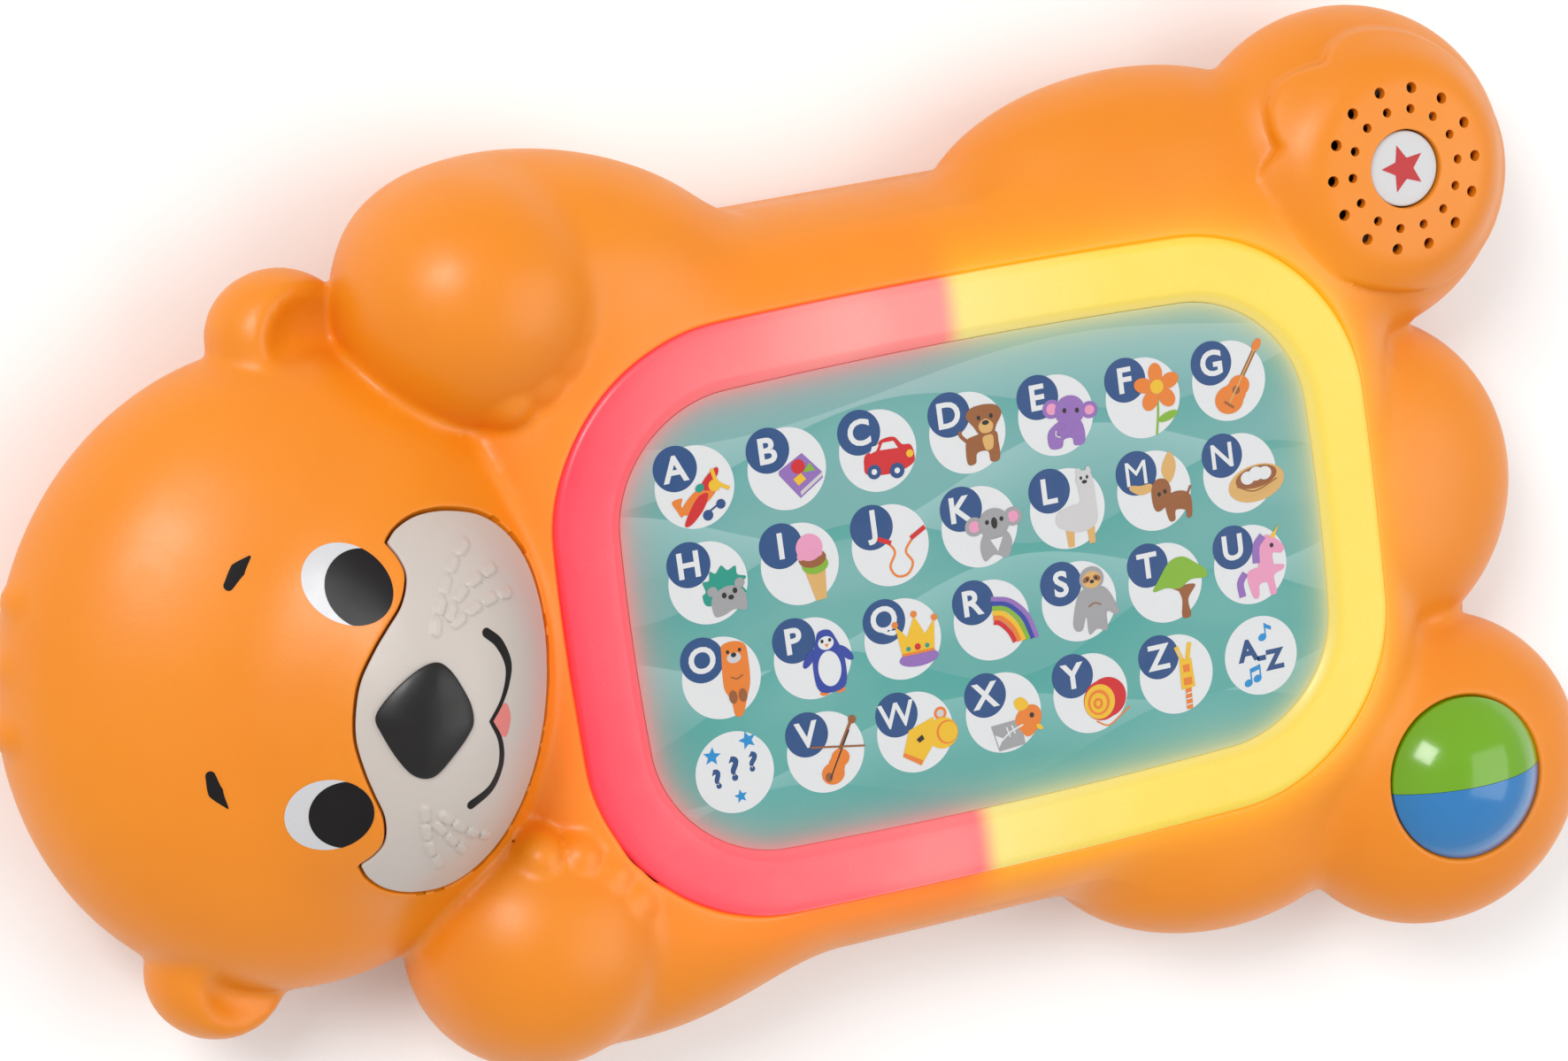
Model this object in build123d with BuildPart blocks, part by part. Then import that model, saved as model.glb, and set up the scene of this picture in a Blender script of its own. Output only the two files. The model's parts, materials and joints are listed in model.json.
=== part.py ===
from build123d import *
from math import cos, hypot, radians, sin
import os

# Toy tablet for small children, shaped like an otter lying on its back.
#
# Lengths are in millimetres.  The origin is on the table, under the centre of
# the touch panel.  +X runs from the head to the feet, +Y across the belly and
# +Z up, out of the belly.

os.makedirs("parts", exist_ok=True)

# ---------------------------------------------------------------- dimensions
WALL = 2.5                  # shell wall
PARTING = 16.0              # height where the two shells meet
PARTING_GAP = 0.1           # between the two shells
FIT = 0.25                  # gap round inserts

FORM_TOP = 90.0             # a height above every part of the body

# Torso: a rounded slab.
TORSO_LENGTH = 215.0
TORSO_WIDTH = 158.0
TORSO_HEIGHT = 46.5
TORSO_CENTRE = (-0.5, 1.5)
TORSO_CORNER = 42.0
TORSO_TOP_EDGE = 26.0
TORSO_BASE_EDGE = 12.0

# Head: its own frame, turned about the vertical axis.
HEAD_CENTRE = (-143.5, 6.0)
HEAD_TURN = 166.4           # direction of the forehead, degrees from +X
FACE_SHIFT = 1.5            # the face's centre line, across the head
HEAD_RADII = (58.5, 65.5, 34.0)
HEAD_HEIGHT = 24.0
SNOUT_RADII = (27.0, 38.0, 27.0)
SNOUT_AT = (-18.0, FACE_SHIFT, 44.0)

# Limbs as (centre, radii, turn about the vertical axis).
LIMBS = [
    ((97, -3, 21), (38, 38, 21), 0),            # rump
    ((49, 71, 21), (44, 25, 21), 4),          # thigh, speaker side
    ((53, -69, 20), (39, 25, 21), -3),          # thigh, dome side
    ((101.5, 66, 25), (37.5, 36, 23), 0),         # foot, speaker side
    ((106, -68, 25), (36.5, 35, 23), 0),        # foot, dome side
    ((-78, 75, 24), (43, 25, 24), -14),         # arm, speaker side
    ((-78, -64, 22), (42, 22, 22), 6),          # arm, dome side
    ((-97, 74, 30), (27.5, 26.5, 27), 0),       # paw, speaker side
    ((-102, -59, 28), (27.5, 27, 26), 0),       # paw, dome side
]
EARS = [(7.0, -66.0, 25.0), (9.5, 62.0, 24.0)]     # in the head's frame
EAR_RADII = (15.0, 14.0, 12.0)
TUFTS = [(53.0, 1.5 + step, 27.0) for step in (-13.0, 0.0, 13.0)]
TUFT_RADIUS = 7.0

# Touch panel, light ring and the boards under them.
PANEL_TOP = 45.0
PANEL_THICKNESS = 2.0
PANEL_LENGTH = 155.0
PANEL_WIDTH = 98.0
PANEL_CORNER = 24.0
PANEL_BOW = 2.5             # how far each side bows out
RING_BAND = 13.5
RING_CORNER = 37.0
RING_TOP = 46.6
RING_BASE = 37.0
RING_FLANGE = 2.5            # reach and thickness
RING_WALL = 1.6
RING_ROOF = 3.0
RING_RIB = 1.2
RING_LEDGE = 2.5
LED_COUNT = 24
LED_SIZE = 3.0
LED_BOARD_TOP = 27.6
BOARD_THICKNESS = 1.6

# Muzzle plate, in the head's frame, as (along to the forehead, across): half of
# its outline, from the middle of the bridge to the cusp and on to the chin.
MUZZLE_BROW = [
    (-2.7, 0), (-3.6, 6.5), (-6.5, 14), (-10.8, 21.5), (-11.6, 26.5), (-8.5, 32),
]
MUZZLE_CHEEK = [
    (-8.5, 32), (-15.5, 37.3), (-26, 38.6), (-37, 34), (-44.5, 20), (-47, 0),
]
MUZZLE_BASE = 30.0          # a height below the plate's lowest edge
LIP_BASE = 36.0             # where its hidden lip starts
LIP_REACH = 2.0             # under the shell's edge
LIP_WEB = 1.5               # from the edge to the lip's web
LIP_GAP = 0.1
LIP_THICKNESS = 1.6
NOSE_RADII = (10.0, 11.5)
NOSE_ALONG = -16.0
NOSE_HEIGHT = 10.5
NOSE_LEVEL = 62.0

# Speaker, under the sole of one foot.
SPEAKER_AT = (103.8, 67.9)
SOLE_TOP = 49.3
SOLE_RADIUS = 26.0
SOLE_EDGE = 7.0
TOE_RADIUS = 10.0
TOE_HEIGHT = 36.0
TOE_REACH = 21.5
TOE_ANGLES = [105, 147, 189]
SOUND_RINGS = [(17.0, 1.2), (12.6, 1.0)]        # (ring radius, hole radius)
SOUND_HOLES = 14
BADGE_RADIUS = 8.0
BADGE_THICKNESS = 1.2
BADGE_SEAT = 1.0            # depth of its recess
BADGE_FIT = 0.15
SPEAKER_RADIUS = 18.0
SPEAKER_FLANGE_TOP = 39.0
SPEAKER_FLANGE = 1.5
SPEAKER_DEPTH = 10.0
MAGNET_RADIUS = 9.5
MAGNET_HEIGHT = 7.0
RETAINER_SCREW_RADIUS = 21.5
RETAINER_THICKNESS = 2.0
RETAINER_POST = 2.6

# Press dome, in the other foot.
DOME_AT = (105.6, -66.7)
DOME_RADIUS = 17.8
DOME_HOLE = 18.4
DOME_RIM = 44.5
DOME_RISE = 9.0
DOME_WALL = 2.0
DOME_SPLIT = 0.1            # gap between the two colours
DOME_TRAVEL = 2.5
COLLAR_WALL = 2.0
COLLAR_BASE = 34.0
CARRIER_TOP = 38.0
CARRIER_PLATE_TOP = 33.5
CARRIER_PLATE = 2.0
DOME_BOARD = (42.0, 26.0)
SWITCH_OFFSET = 14.0
SPRING_RADIUS = 6.5
SPRING_WIRE = 0.5
SPRING_TURNS = 6

# Battery bay, for three AA cells side by side.
CELL_RADIUS = 7.1
CELL_LENGTH = 50.5
CELL_COUNT = 3
CELL_PITCH = 15.0
CELL_NUB = 1.5
CELL_SPRING = 6.5           # space for the coil spring at one end
CONTACT_THICKNESS = 0.4
BAY_AT = (-42.0, 1.5)
BAY_LENGTH = 58.0
BAY_WIDTH = 47.0
BAY_TOP = 18.5
BAY_WALL = 2.0
DOOR_LENGTH = 78.0
DOOR_WIDTH = 51.0
DOOR_THICKNESS = 2.0
DOOR_GAP = 0.4
DOOR_SCREW_X = 34.5         # from the bay's centre
DOOR_BOSS_TOP = 6.0
DOOR_SCREW_SEAT = 3.0
DOOR_TAB = (3.0, 8.0)       # reach and width
DOOR_TAB_SPACING = 30.0
BASE_PAD = 5.0              # thickness of the floor round the door and the switch

# Power switch, in the base.
POWER_AT = (52.0, 1.5)
POWER_TRAVEL = 8.0
KNOB_LENGTH = 10.0
KNOB_WIDTH = 7.0

# Fasteners.
SCREW_RADIUS = 1.5
SCREW_HEAD_RADIUS = 2.9
SCREW_HEAD_HEIGHT = 2.0
POST_RADIUS = 4.2
SCREW_SEAT = 10.0           # height of the screw heads' seats
SCREW_LENGTH = 20.0
SCREW_CLEARANCE = 0.05
SMALL_SCREW_RADIUS = 1.0
SMALL_HEAD_RADIUS = 2.0
SMALL_HEAD_HEIGHT = 1.3
PILOT_RADIUS = 1.05
BOARD_HOLE = 1.2
CASE_SCREWS = [
    (-62, 69.5), (62, 69.5), (-62, -69), (62, -69), (-160, 34), (-160, -26), (116, -3),
]

# Boards on posts that reach the parting plane.
BOARD_TOP = PARTING + BOARD_THICKNESS
BOARD_POST = 3.2
MAIN_BOARD_AT = (50.0, 1.5)
MAIN_BOARD_SIZE = (62.0, 70.0)
MAIN_BOARD_POSTS = (52.0, 60.0)
WIRE_RADIUS = 0.7
WIRE_SPACING = 2.0


def head_point(along, across, height):
    """A place in the head's frame, as a place in the row frame."""
    turn = radians(HEAD_TURN)
    x = HEAD_CENTRE[0] + along * cos(turn) - across * sin(turn)
    y = HEAD_CENTRE[1] + along * sin(turn) + across * cos(turn)
    return (x, y, height)


def head_plane(height):
    """A level plane in the head's frame, local x to the forehead."""
    turn = radians(HEAD_TURN)
    return Plane(origin=head_point(0, 0, height), x_dir=(cos(turn), sin(turn), 0), z_dir=(0, 0, 1))


def add_ellipsoid(centre, radii, turn, inset):
    """Add an ellipsoid, smaller all round by the inset, to the part being built."""
    unit_ball = Sphere(1, mode=Mode.PRIVATE)
    ball = scale(unit_ball, by=tuple(radius - inset for radius in radii), mode=Mode.PRIVATE)
    with Locations(Location(centre, (0, 0, turn))):
        add(ball)


def add_head(inset):
    """Add the head and its snout, smaller all round by the inset."""
    add_ellipsoid(head_point(0, 0, HEAD_HEIGHT), HEAD_RADII, HEAD_TURN, inset)
    add_ellipsoid(head_point(*SNOUT_AT), SNOUT_RADII, HEAD_TURN, inset)


def body_form(inset):
    """The whole closed body, smaller all round by the inset."""
    with BuildPart() as form:
        with BuildSketch(Plane.XY.offset(inset)):
            with Locations(TORSO_CENTRE):
                RectangleRounded(
                    TORSO_LENGTH - 2 * inset, TORSO_WIDTH - 2 * inset, TORSO_CORNER - inset
                )
        extrude(amount=TORSO_HEIGHT - 2 * inset)
        fillet(form.edges().group_by(Axis.Z)[-1], TORSO_TOP_EDGE - inset)
        fillet(form.edges().group_by(Axis.Z)[0], TORSO_BASE_EDGE - inset)
        for centre, radii, turn in LIMBS:
            add_ellipsoid(centre, radii, turn, inset)
        for ear in EARS:
            add_ellipsoid(head_point(*ear), EAR_RADII, HEAD_TURN, inset)
        for tuft in TUFTS:
            with Locations(head_point(*tuft)):
                Sphere(TUFT_RADIUS - inset)
        add_head(inset)
        split(bisect_by=Plane.XY.offset(inset), keep=Keep.TOP)
    return form.part


def bowed_outline(length, width, corner, bow):
    """A rounded rectangle whose four sides bow outwards."""
    half_x = length / 2
    half_y = width / 2
    with BuildSketch() as outline:
        with BuildLine():
            ThreePointArc((-half_x + bow, -half_y + bow), (0, -half_y), (half_x - bow, -half_y + bow))
            ThreePointArc((half_x - bow, -half_y + bow), (half_x, 0), (half_x - bow, half_y - bow))
            ThreePointArc((half_x - bow, half_y - bow), (0, half_y), (-half_x + bow, half_y - bow))
            ThreePointArc((-half_x + bow, half_y - bow), (-half_x, 0), (-half_x + bow, -half_y + bow))
        make_face()
        fillet(outline.vertices(), corner)
    return outline.sketch


def panel_outline(grow):
    """The touch panel's outline, grown all round."""
    return bowed_outline(PANEL_LENGTH + 2 * grow, PANEL_WIDTH + 2 * grow, PANEL_CORNER + grow, PANEL_BOW)


def ring_outline(grow):
    """The light ring's outer outline, grown all round."""
    length = PANEL_LENGTH + 2 * (RING_BAND + grow)
    width = PANEL_WIDTH + 2 * (RING_BAND + grow)
    return bowed_outline(length, width, RING_CORNER + grow, PANEL_BOW)


def grown(loop, grow):
    """A closed loop of points, anticlockwise, with its sides moved outwards."""
    moved = []
    for before, here, after in zip(loop[-1:] + loop[:-1], loop, loop[1:] + loop[:1]):
        normals = []
        for start, end in ((before, here), (here, after)):
            run = hypot(end[0] - start[0], end[1] - start[1])
            normals.append(((end[1] - start[1]) / run, (start[0] - end[0]) / run))
        (x1, y1), (x2, y2) = normals
        reach = grow / (1 + x1 * x2 + y1 * y2)
        moved.append((here[0] + reach * (x1 + x2), here[1] + reach * (y1 + y2)))
    return moved


def muzzle_outline(grow):
    """The muzzle plate's outline in the head's frame, grown all round."""
    brow = [(along, across + FACE_SHIFT) for along, across in MUZZLE_BROW]
    cheek = [(along, across + FACE_SHIFT) for along, across in MUZZLE_CHEEK]
    far_brow = [(along, FACE_SHIFT - across) for along, across in MUZZLE_BROW[1:]]
    far_cheek = [(along, FACE_SHIFT - across) for along, across in MUZZLE_CHEEK[1:-1]]
    loop = grown(brow + cheek[1:] + far_cheek[::-1] + far_brow[::-1], grow)
    far_cusp = len(loop) - len(far_brow)
    cusp = len(brow) - 1
    with BuildSketch() as outline:
        with BuildLine():
            Spline(*loop[far_cusp:], *loop[: cusp + 1])
            Spline(*loop[cusp : far_cusp + 1])
        make_face()
    return outline.sketch


def save(part, name):
    """Label a finished piece and write it to its STEP file."""
    part.label = name
    export_step(part, "parts/" + name + ".step")


def post_field(radius, spots, low, high):
    """Upright round posts, added to the part being built."""
    with BuildSketch(Plane.XY.offset(low)) as field:
        with Locations(*spots):
            Circle(radius)
    extrude(field.sketch, amount=high - low)


def bores(radius, spots, low, high):
    """Upright round holes in the part being built."""
    with BuildSketch(Plane.XY.offset(low)) as field:
        with Locations(*spots):
            Circle(radius)
    extrude(field.sketch, amount=high - low, mode=Mode.SUBTRACT)


def spots_round(centre, radius, angles):
    """Points on a circle, at angles in degrees."""
    return [
        (centre[0] + radius * cos(radians(angle)), centre[1] + radius * sin(radians(angle)))
        for angle in angles
    ]


def spots_grid(centre, spacing):
    """The four corners of a rectangle."""
    return [
        (centre[0] + side_x * spacing[0] / 2, centre[1] + side_y * spacing[1] / 2)
        for side_x in (-1, 1)
        for side_y in (-1, 1)
    ]


def block(centre, size, low, high, mode=Mode.ADD):
    """An upright box in the part being built."""
    with BuildSketch(Plane.XY.offset(low)) as outline:
        with Locations(centre):
            Rectangle(*size)
    extrude(outline.sketch, amount=high - low, mode=mode)


def wire_pair(points, bends, aside):
    """Two parallel wires along a route of straight runs and arcs."""
    with BuildPart() as pair:
        for side in (-1, 1):
            shift = side * WIRE_SPACING / 2
            route = [(x + aside[0] * shift, y + aside[1] * shift, z) for x, y, z in points]
            with BuildLine() as line:
                FilletPolyline(*route, radius=bends)
            with BuildSketch(line.line ^ 0):
                Circle(WIRE_RADIUS)
            sweep(path=line.line)
    return pair.part


def screws(spots, seat, length):
    """Pan-head screws whose heads bear on the seat."""
    with BuildPart() as group:
        with BuildSketch(Plane.XY.offset(seat)):
            with Locations(*spots):
                Circle(SCREW_HEAD_RADIUS)
        extrude(amount=-SCREW_HEAD_HEIGHT)
        with BuildSketch(Plane.XY.offset(seat)):
            with Locations(*spots):
                Circle(SCREW_RADIUS)
        extrude(amount=length)
        with BuildSketch(Plane.XY.offset(seat - SCREW_HEAD_HEIGHT)):
            with Locations(*spots):
                Rectangle(3.6, 0.9)
                Rectangle(0.9, 3.6)
        extrude(amount=1.2, mode=Mode.SUBTRACT)
    return group.part


def small_screws(spots, seat, length, way):
    """Board and retainer screws; way is +1 for upward, -1 for downward."""
    with BuildPart() as group:
        with BuildSketch(Plane.XY.offset(seat)):
            with Locations(*spots):
                Circle(SMALL_HEAD_RADIUS)
        extrude(amount=-way * SMALL_HEAD_HEIGHT)
        with BuildSketch(Plane.XY.offset(seat)):
            with Locations(*spots):
                Circle(SMALL_SCREW_RADIUS)
        extrude(amount=way * length)
    return group.part


# ------------------------------------------------------------- shared shapes
outer_form = body_form(0)
inner_form = body_form(WALL)
with BuildPart() as head_outer:
    add_head(0)
with BuildPart() as head_inner:
    add_head(WALL)
with BuildPart() as lip_outer:
    add_head(WALL + LIP_GAP)
with BuildPart() as lip_inner:
    add_head(WALL + LIP_GAP + LIP_THICKNESS)

retainer_screws = spots_round(SPEAKER_AT, RETAINER_SCREW_RADIUS, (75, 195, 315))
main_board_screws = spots_grid(MAIN_BOARD_AT, MAIN_BOARD_POSTS)
dome_board_screws = spots_grid(DOME_AT, (DOME_BOARD[0] - 7, DOME_BOARD[1] - 7))
retainer_top = SPEAKER_FLANGE_TOP - SPEAKER_FLANGE
magnet_top = SPEAKER_FLANGE_TOP - SPEAKER_DEPTH
touch_board_base = PANEL_TOP - PANEL_THICKNESS - BOARD_THICKNESS
switch_spot = (DOME_AT[0] + SWITCH_OFFSET, DOME_AT[1])
switch_top = BOARD_TOP + 4.8
screw_hole = SCREW_RADIUS + SCREW_CLEARANCE

# --------------------------------------------------------------- front shell
with BuildPart() as sole:
    with BuildSketch(Plane.XY.offset(PARTING)):
        with Locations(SPEAKER_AT):
            Circle(SOLE_RADIUS)
    extrude(amount=SOLE_TOP - PARTING)
    fillet(sole.edges().group_by(Axis.Z)[-1], SOLE_EDGE)
    for spot in spots_round(SPEAKER_AT, TOE_REACH, TOE_ANGLES):
        with Locations((spot[0], spot[1], TOE_HEIGHT)):
            Sphere(TOE_RADIUS)

with BuildPart() as front_cavity:
    add(inner_form)
    bores(POST_RADIUS, CASE_SCREWS, 0, FORM_TOP)
    bores(RETAINER_POST, retainer_screws, retainer_top, FORM_TOP)
    with BuildSketch(Plane.XY.offset(COLLAR_BASE)):
        with Locations(DOME_AT):
            Circle(DOME_HOLE + COLLAR_WALL)
    extrude(amount=TORSO_HEIGHT, mode=Mode.SUBTRACT)

with BuildPart() as front_shell:
    add(outer_form)
    add(sole.part)
    add(front_cavity.part, mode=Mode.SUBTRACT)
    split(bisect_by=Plane.XY.offset(PARTING + PARTING_GAP), keep=Keep.TOP)
    extrude(Plane.XY.offset(RING_BASE - 4) * ring_outline(FIT), amount=TORSO_HEIGHT, mode=Mode.SUBTRACT)
    extrude(head_plane(MUZZLE_BASE) * muzzle_outline(FIT), amount=FORM_TOP, mode=Mode.SUBTRACT)
    bores(DOME_HOLE, [DOME_AT], COLLAR_BASE - 1, FORM_TOP)
    for ring_radius, hole_radius in SOUND_RINGS:
        with BuildSketch(Plane.XY.offset(SPEAKER_FLANGE_TOP)):
            with Locations(SPEAKER_AT):
                with PolarLocations(ring_radius, SOUND_HOLES):
                    Circle(hole_radius)
        extrude(amount=20, mode=Mode.SUBTRACT)
    bores(BADGE_RADIUS + BADGE_FIT, [SPEAKER_AT], SOLE_TOP - BADGE_SEAT, FORM_TOP)
    bores(screw_hole, CASE_SCREWS, PARTING, SCREW_SEAT + SCREW_LENGTH + 1)
    bores(PILOT_RADIUS, retainer_screws, retainer_top, retainer_top + 3)
# A crumb of wall stays between the inner forms of the head, a paw and the torso.
save(front_shell.part.solids().sort_by(SortBy.VOLUME)[-1], "front_shell")

# ---------------------------------------------------------------- rear shell
bay_outer = (BAY_LENGTH + 2 * BAY_WALL, BAY_WIDTH + 2 * BAY_WALL)
door_screw = (BAY_AT[0] + DOOR_SCREW_X, BAY_AT[1])
door_recess = (DOOR_LENGTH + 2 * DOOR_GAP, DOOR_WIDTH + 2 * DOOR_GAP)
door_tabs = [
    (BAY_AT[0] - DOOR_LENGTH / 2 - DOOR_TAB[0] / 2, BAY_AT[1] + side * DOOR_TAB_SPACING / 2)
    for side in (-1, 1)
]
power_recess = (KNOB_LENGTH + POWER_TRAVEL + 1, KNOB_WIDTH + 1)

with BuildPart() as rear_cavity:
    add(inner_form)
    bores(POST_RADIUS, CASE_SCREWS, 0, FORM_TOP)
    bores(BOARD_POST, main_board_screws + dome_board_screws, 0, FORM_TOP)
    block(BAY_AT, (door_recess[0] + 6, door_recess[1] + 6), 0, BASE_PAD, Mode.SUBTRACT)
    block(POWER_AT, (power_recess[0] + 10, power_recess[1] + 8), 0, BASE_PAD, Mode.SUBTRACT)

with BuildPart() as rear_shell:
    add(outer_form)
    add(rear_cavity.part, mode=Mode.SUBTRACT)
    split(bisect_by=Plane.XY.offset(PARTING), keep=Keep.BOTTOM)
    block(BAY_AT, bay_outer, 3, BAY_TOP + BAY_WALL)
    post_field(POST_RADIUS, [door_screw], 3, PARTING)
    block(BAY_AT, (BAY_LENGTH, BAY_WIDTH), -1, BAY_TOP, Mode.SUBTRACT)
    block(BAY_AT, door_recess, -1, DOOR_THICKNESS + 0.3, Mode.SUBTRACT)
    for tab in door_tabs:
        block(tab, (DOOR_TAB[0] + 1, DOOR_TAB[1] + 1), -1, DOOR_THICKNESS + 0.3, Mode.SUBTRACT)
    bores(POST_RADIUS + 0.6, [door_screw], -1, 6.3)
    bores(screw_hole, [door_screw], 6, PARTING - 1)
    bores(SCREW_HEAD_RADIUS + 0.4, CASE_SCREWS, -1, SCREW_SEAT)
    bores(SCREW_RADIUS + 0.25, CASE_SCREWS, SCREW_SEAT - 1, PARTING + 1)
    bores(PILOT_RADIUS, main_board_screws + dome_board_screws, PARTING - 6, PARTING + 1)
    block(POWER_AT, power_recess, -1, 3.2, Mode.SUBTRACT)
    block(POWER_AT, (POWER_TRAVEL + 5, 5), 3, BASE_PAD + 1, Mode.SUBTRACT)
save(rear_shell.part, "rear_shell")

# ------------------------------------------------------ light ring and panel
with BuildPart() as ring_channel:
    channel_height = RING_TOP - RING_ROOF - LED_BOARD_TOP
    extrude(Plane.XY.offset(LED_BOARD_TOP) * ring_outline(-RING_WALL), amount=channel_height)
    extrude(Plane.XY.offset(LED_BOARD_TOP) * panel_outline(RING_WALL), amount=RING_TOP, mode=Mode.SUBTRACT)
    block((0, 0), (RING_RIB, TORSO_WIDTH), LED_BOARD_TOP + 1.5, RING_TOP, Mode.SUBTRACT)

with BuildPart() as light_ring:
    extrude(Plane.XY.offset(LED_BOARD_TOP) * ring_outline(0), amount=RING_TOP - LED_BOARD_TOP)
    fillet(light_ring.edges().group_by(Axis.Z)[-1], 4)
    extrude(Plane.XY.offset(RING_BASE) * ring_outline(RING_FLANGE), amount=RING_FLANGE)
    extrude(Plane.XY.offset(LED_BOARD_TOP) * panel_outline(0), amount=RING_TOP, mode=Mode.SUBTRACT)
    extrude(Plane.XY.offset(PANEL_TOP - PANEL_THICKNESS - 2) * panel_outline(0), amount=2)
    extrude(Plane.XY.offset(LED_BOARD_TOP) * panel_outline(-RING_LEDGE), amount=RING_TOP, mode=Mode.SUBTRACT)
    add(ring_channel.part, mode=Mode.SUBTRACT)
save(light_ring.part, "light_ring")

with BuildPart() as touch_panel:
    extrude(Plane.XY.offset(PANEL_TOP) * panel_outline(-FIT), amount=-PANEL_THICKNESS)
save(touch_panel.part, "touch_panel")

with BuildPart() as touch_board:
    board_plane = Plane.XY.offset(PANEL_TOP - PANEL_THICKNESS)
    extrude(board_plane * panel_outline(-RING_LEDGE - 2 * FIT), amount=-BOARD_THICKNESS)
save(touch_board.part, "touch_board")

with BuildPart() as led_board:
    extrude(Plane.XY.offset(LED_BOARD_TOP) * ring_outline(0), amount=-BOARD_THICKNESS)
    extrude(Plane.XY.offset(LED_BOARD_TOP) * panel_outline(0), amount=-BOARD_THICKNESS, mode=Mode.SUBTRACT)
save(led_board.part, "led_board")

led_path = bowed_outline(
    PANEL_LENGTH + RING_BAND, PANEL_WIDTH + RING_BAND, PANEL_CORNER + RING_BAND / 2, PANEL_BOW
).wire()
with BuildPart() as ring_leds:
    with BuildSketch(Plane.XY.offset(LED_BOARD_TOP)):
        with Locations(*[led_path @ ((step + 0.5) / LED_COUNT) for step in range(LED_COUNT)]):
            Rectangle(LED_SIZE, LED_SIZE)
    extrude(amount=1.2)
save(ring_leds.part, "ring_leds")

# -------------------------------------------------------------- muzzle plate
with BuildPart() as muzzle_face:
    extrude(head_plane(MUZZLE_BASE) * muzzle_outline(0), amount=FORM_TOP)
    add(head_outer.part, mode=Mode.INTERSECT)
    add(head_inner.part, mode=Mode.SUBTRACT)

with BuildPart() as muzzle_lip:
    extrude(head_plane(LIP_BASE) * muzzle_outline(LIP_REACH), amount=FORM_TOP)
    add(lip_outer.part, mode=Mode.INTERSECT)
    add(lip_inner.part, mode=Mode.SUBTRACT)

with BuildPart() as muzzle_web:
    extrude(head_plane(LIP_BASE) * muzzle_outline(-LIP_WEB), amount=FORM_TOP)
    add(head_outer.part, mode=Mode.INTERSECT)
    add(lip_inner.part, mode=Mode.SUBTRACT)

with BuildPart() as muzzle_plate:
    add(muzzle_face.part)
    add(muzzle_lip.part)
    add(muzzle_web.part)
    nose_radii = (NOSE_RADII[0], NOSE_RADII[1], NOSE_HEIGHT)
    add_ellipsoid(head_point(NOSE_ALONG, FACE_SHIFT, NOSE_LEVEL), nose_radii, HEAD_TURN, 0)
save(muzzle_plate.part, "muzzle_plate")

# ------------------------------------------------------------------- speaker
with BuildPart() as speaker_basket:
    with BuildSketch(Plane.XZ):
        with BuildLine():
            Polyline(
                (SPEAKER_RADIUS, retainer_top),
                (SPEAKER_RADIUS, SPEAKER_FLANGE_TOP),
                (SPEAKER_RADIUS - 3, SPEAKER_FLANGE_TOP),
                (SPEAKER_RADIUS - 3, retainer_top - 0.5),
                (MAGNET_RADIUS - 2, magnet_top + 1),
                (MAGNET_RADIUS - 4, magnet_top + 1),
                (MAGNET_RADIUS - 4, magnet_top),
                (MAGNET_RADIUS - 1, magnet_top),
                (SPEAKER_RADIUS - 2, retainer_top - 0.8),
                (SPEAKER_RADIUS - 2, retainer_top),
                close=True,
            )
        make_face()
    revolve(axis=Axis.Z)
save(speaker_basket.part.moved(Location((SPEAKER_AT[0], SPEAKER_AT[1], 0))), "speaker_basket")

with BuildPart() as speaker_magnet:
    with BuildSketch(Plane.XY.offset(magnet_top - MAGNET_HEIGHT)):
        with Locations(SPEAKER_AT):
            Circle(MAGNET_RADIUS)
    extrude(amount=MAGNET_HEIGHT)
    chamfer(speaker_magnet.edges(), 0.6)
save(speaker_magnet.part, "speaker_magnet")

with BuildPart() as speaker_cone:
    with BuildSketch(Plane.XZ):
        with BuildLine():
            Polyline(
                (SPEAKER_RADIUS - 3.1, SPEAKER_FLANGE_TOP - 0.4),
                (SPEAKER_RADIUS - 5, SPEAKER_FLANGE_TOP - 0.2),
                (MAGNET_RADIUS - 3.5, magnet_top + 3),
                (0, magnet_top + 4.5),
                (0, magnet_top + 3.9),
                (MAGNET_RADIUS - 3.4, magnet_top + 2.4),
                (SPEAKER_RADIUS - 5, SPEAKER_FLANGE_TOP - 0.9),
                (SPEAKER_RADIUS - 3.1, SPEAKER_FLANGE_TOP - 0.9),
                close=True,
            )
        make_face()
    revolve(axis=Axis.Z)
save(speaker_cone.part.moved(Location((SPEAKER_AT[0], SPEAKER_AT[1], 0))), "speaker_cone")

with BuildPart() as speaker_retainer:
    with BuildSketch(Plane.XY.offset(retainer_top - RETAINER_THICKNESS)):
        with Locations(SPEAKER_AT):
            Circle(SPEAKER_RADIUS + 1.5)
        with Locations(*retainer_screws):
            Circle(RETAINER_POST)
        with Locations(SPEAKER_AT):
            Circle(SPEAKER_RADIUS - 1.5, mode=Mode.SUBTRACT)
        with Locations(*retainer_screws):
            Circle(BOARD_HOLE, mode=Mode.SUBTRACT)
    extrude(amount=RETAINER_THICKNESS)
save(speaker_retainer.part, "speaker_retainer")

save(small_screws(retainer_screws, retainer_top - RETAINER_THICKNESS, 4.5, 1), "speaker_screws")

with BuildPart() as speaker_badge:
    with BuildSketch(Plane.XY.offset(SOLE_TOP - BADGE_SEAT)):
        with Locations(SPEAKER_AT):
            Circle(BADGE_RADIUS)
    extrude(amount=BADGE_THICKNESS)
    fillet(speaker_badge.edges().group_by(Axis.Z)[-1], 0.4)
save(speaker_badge.part, "speaker_badge")

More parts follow.
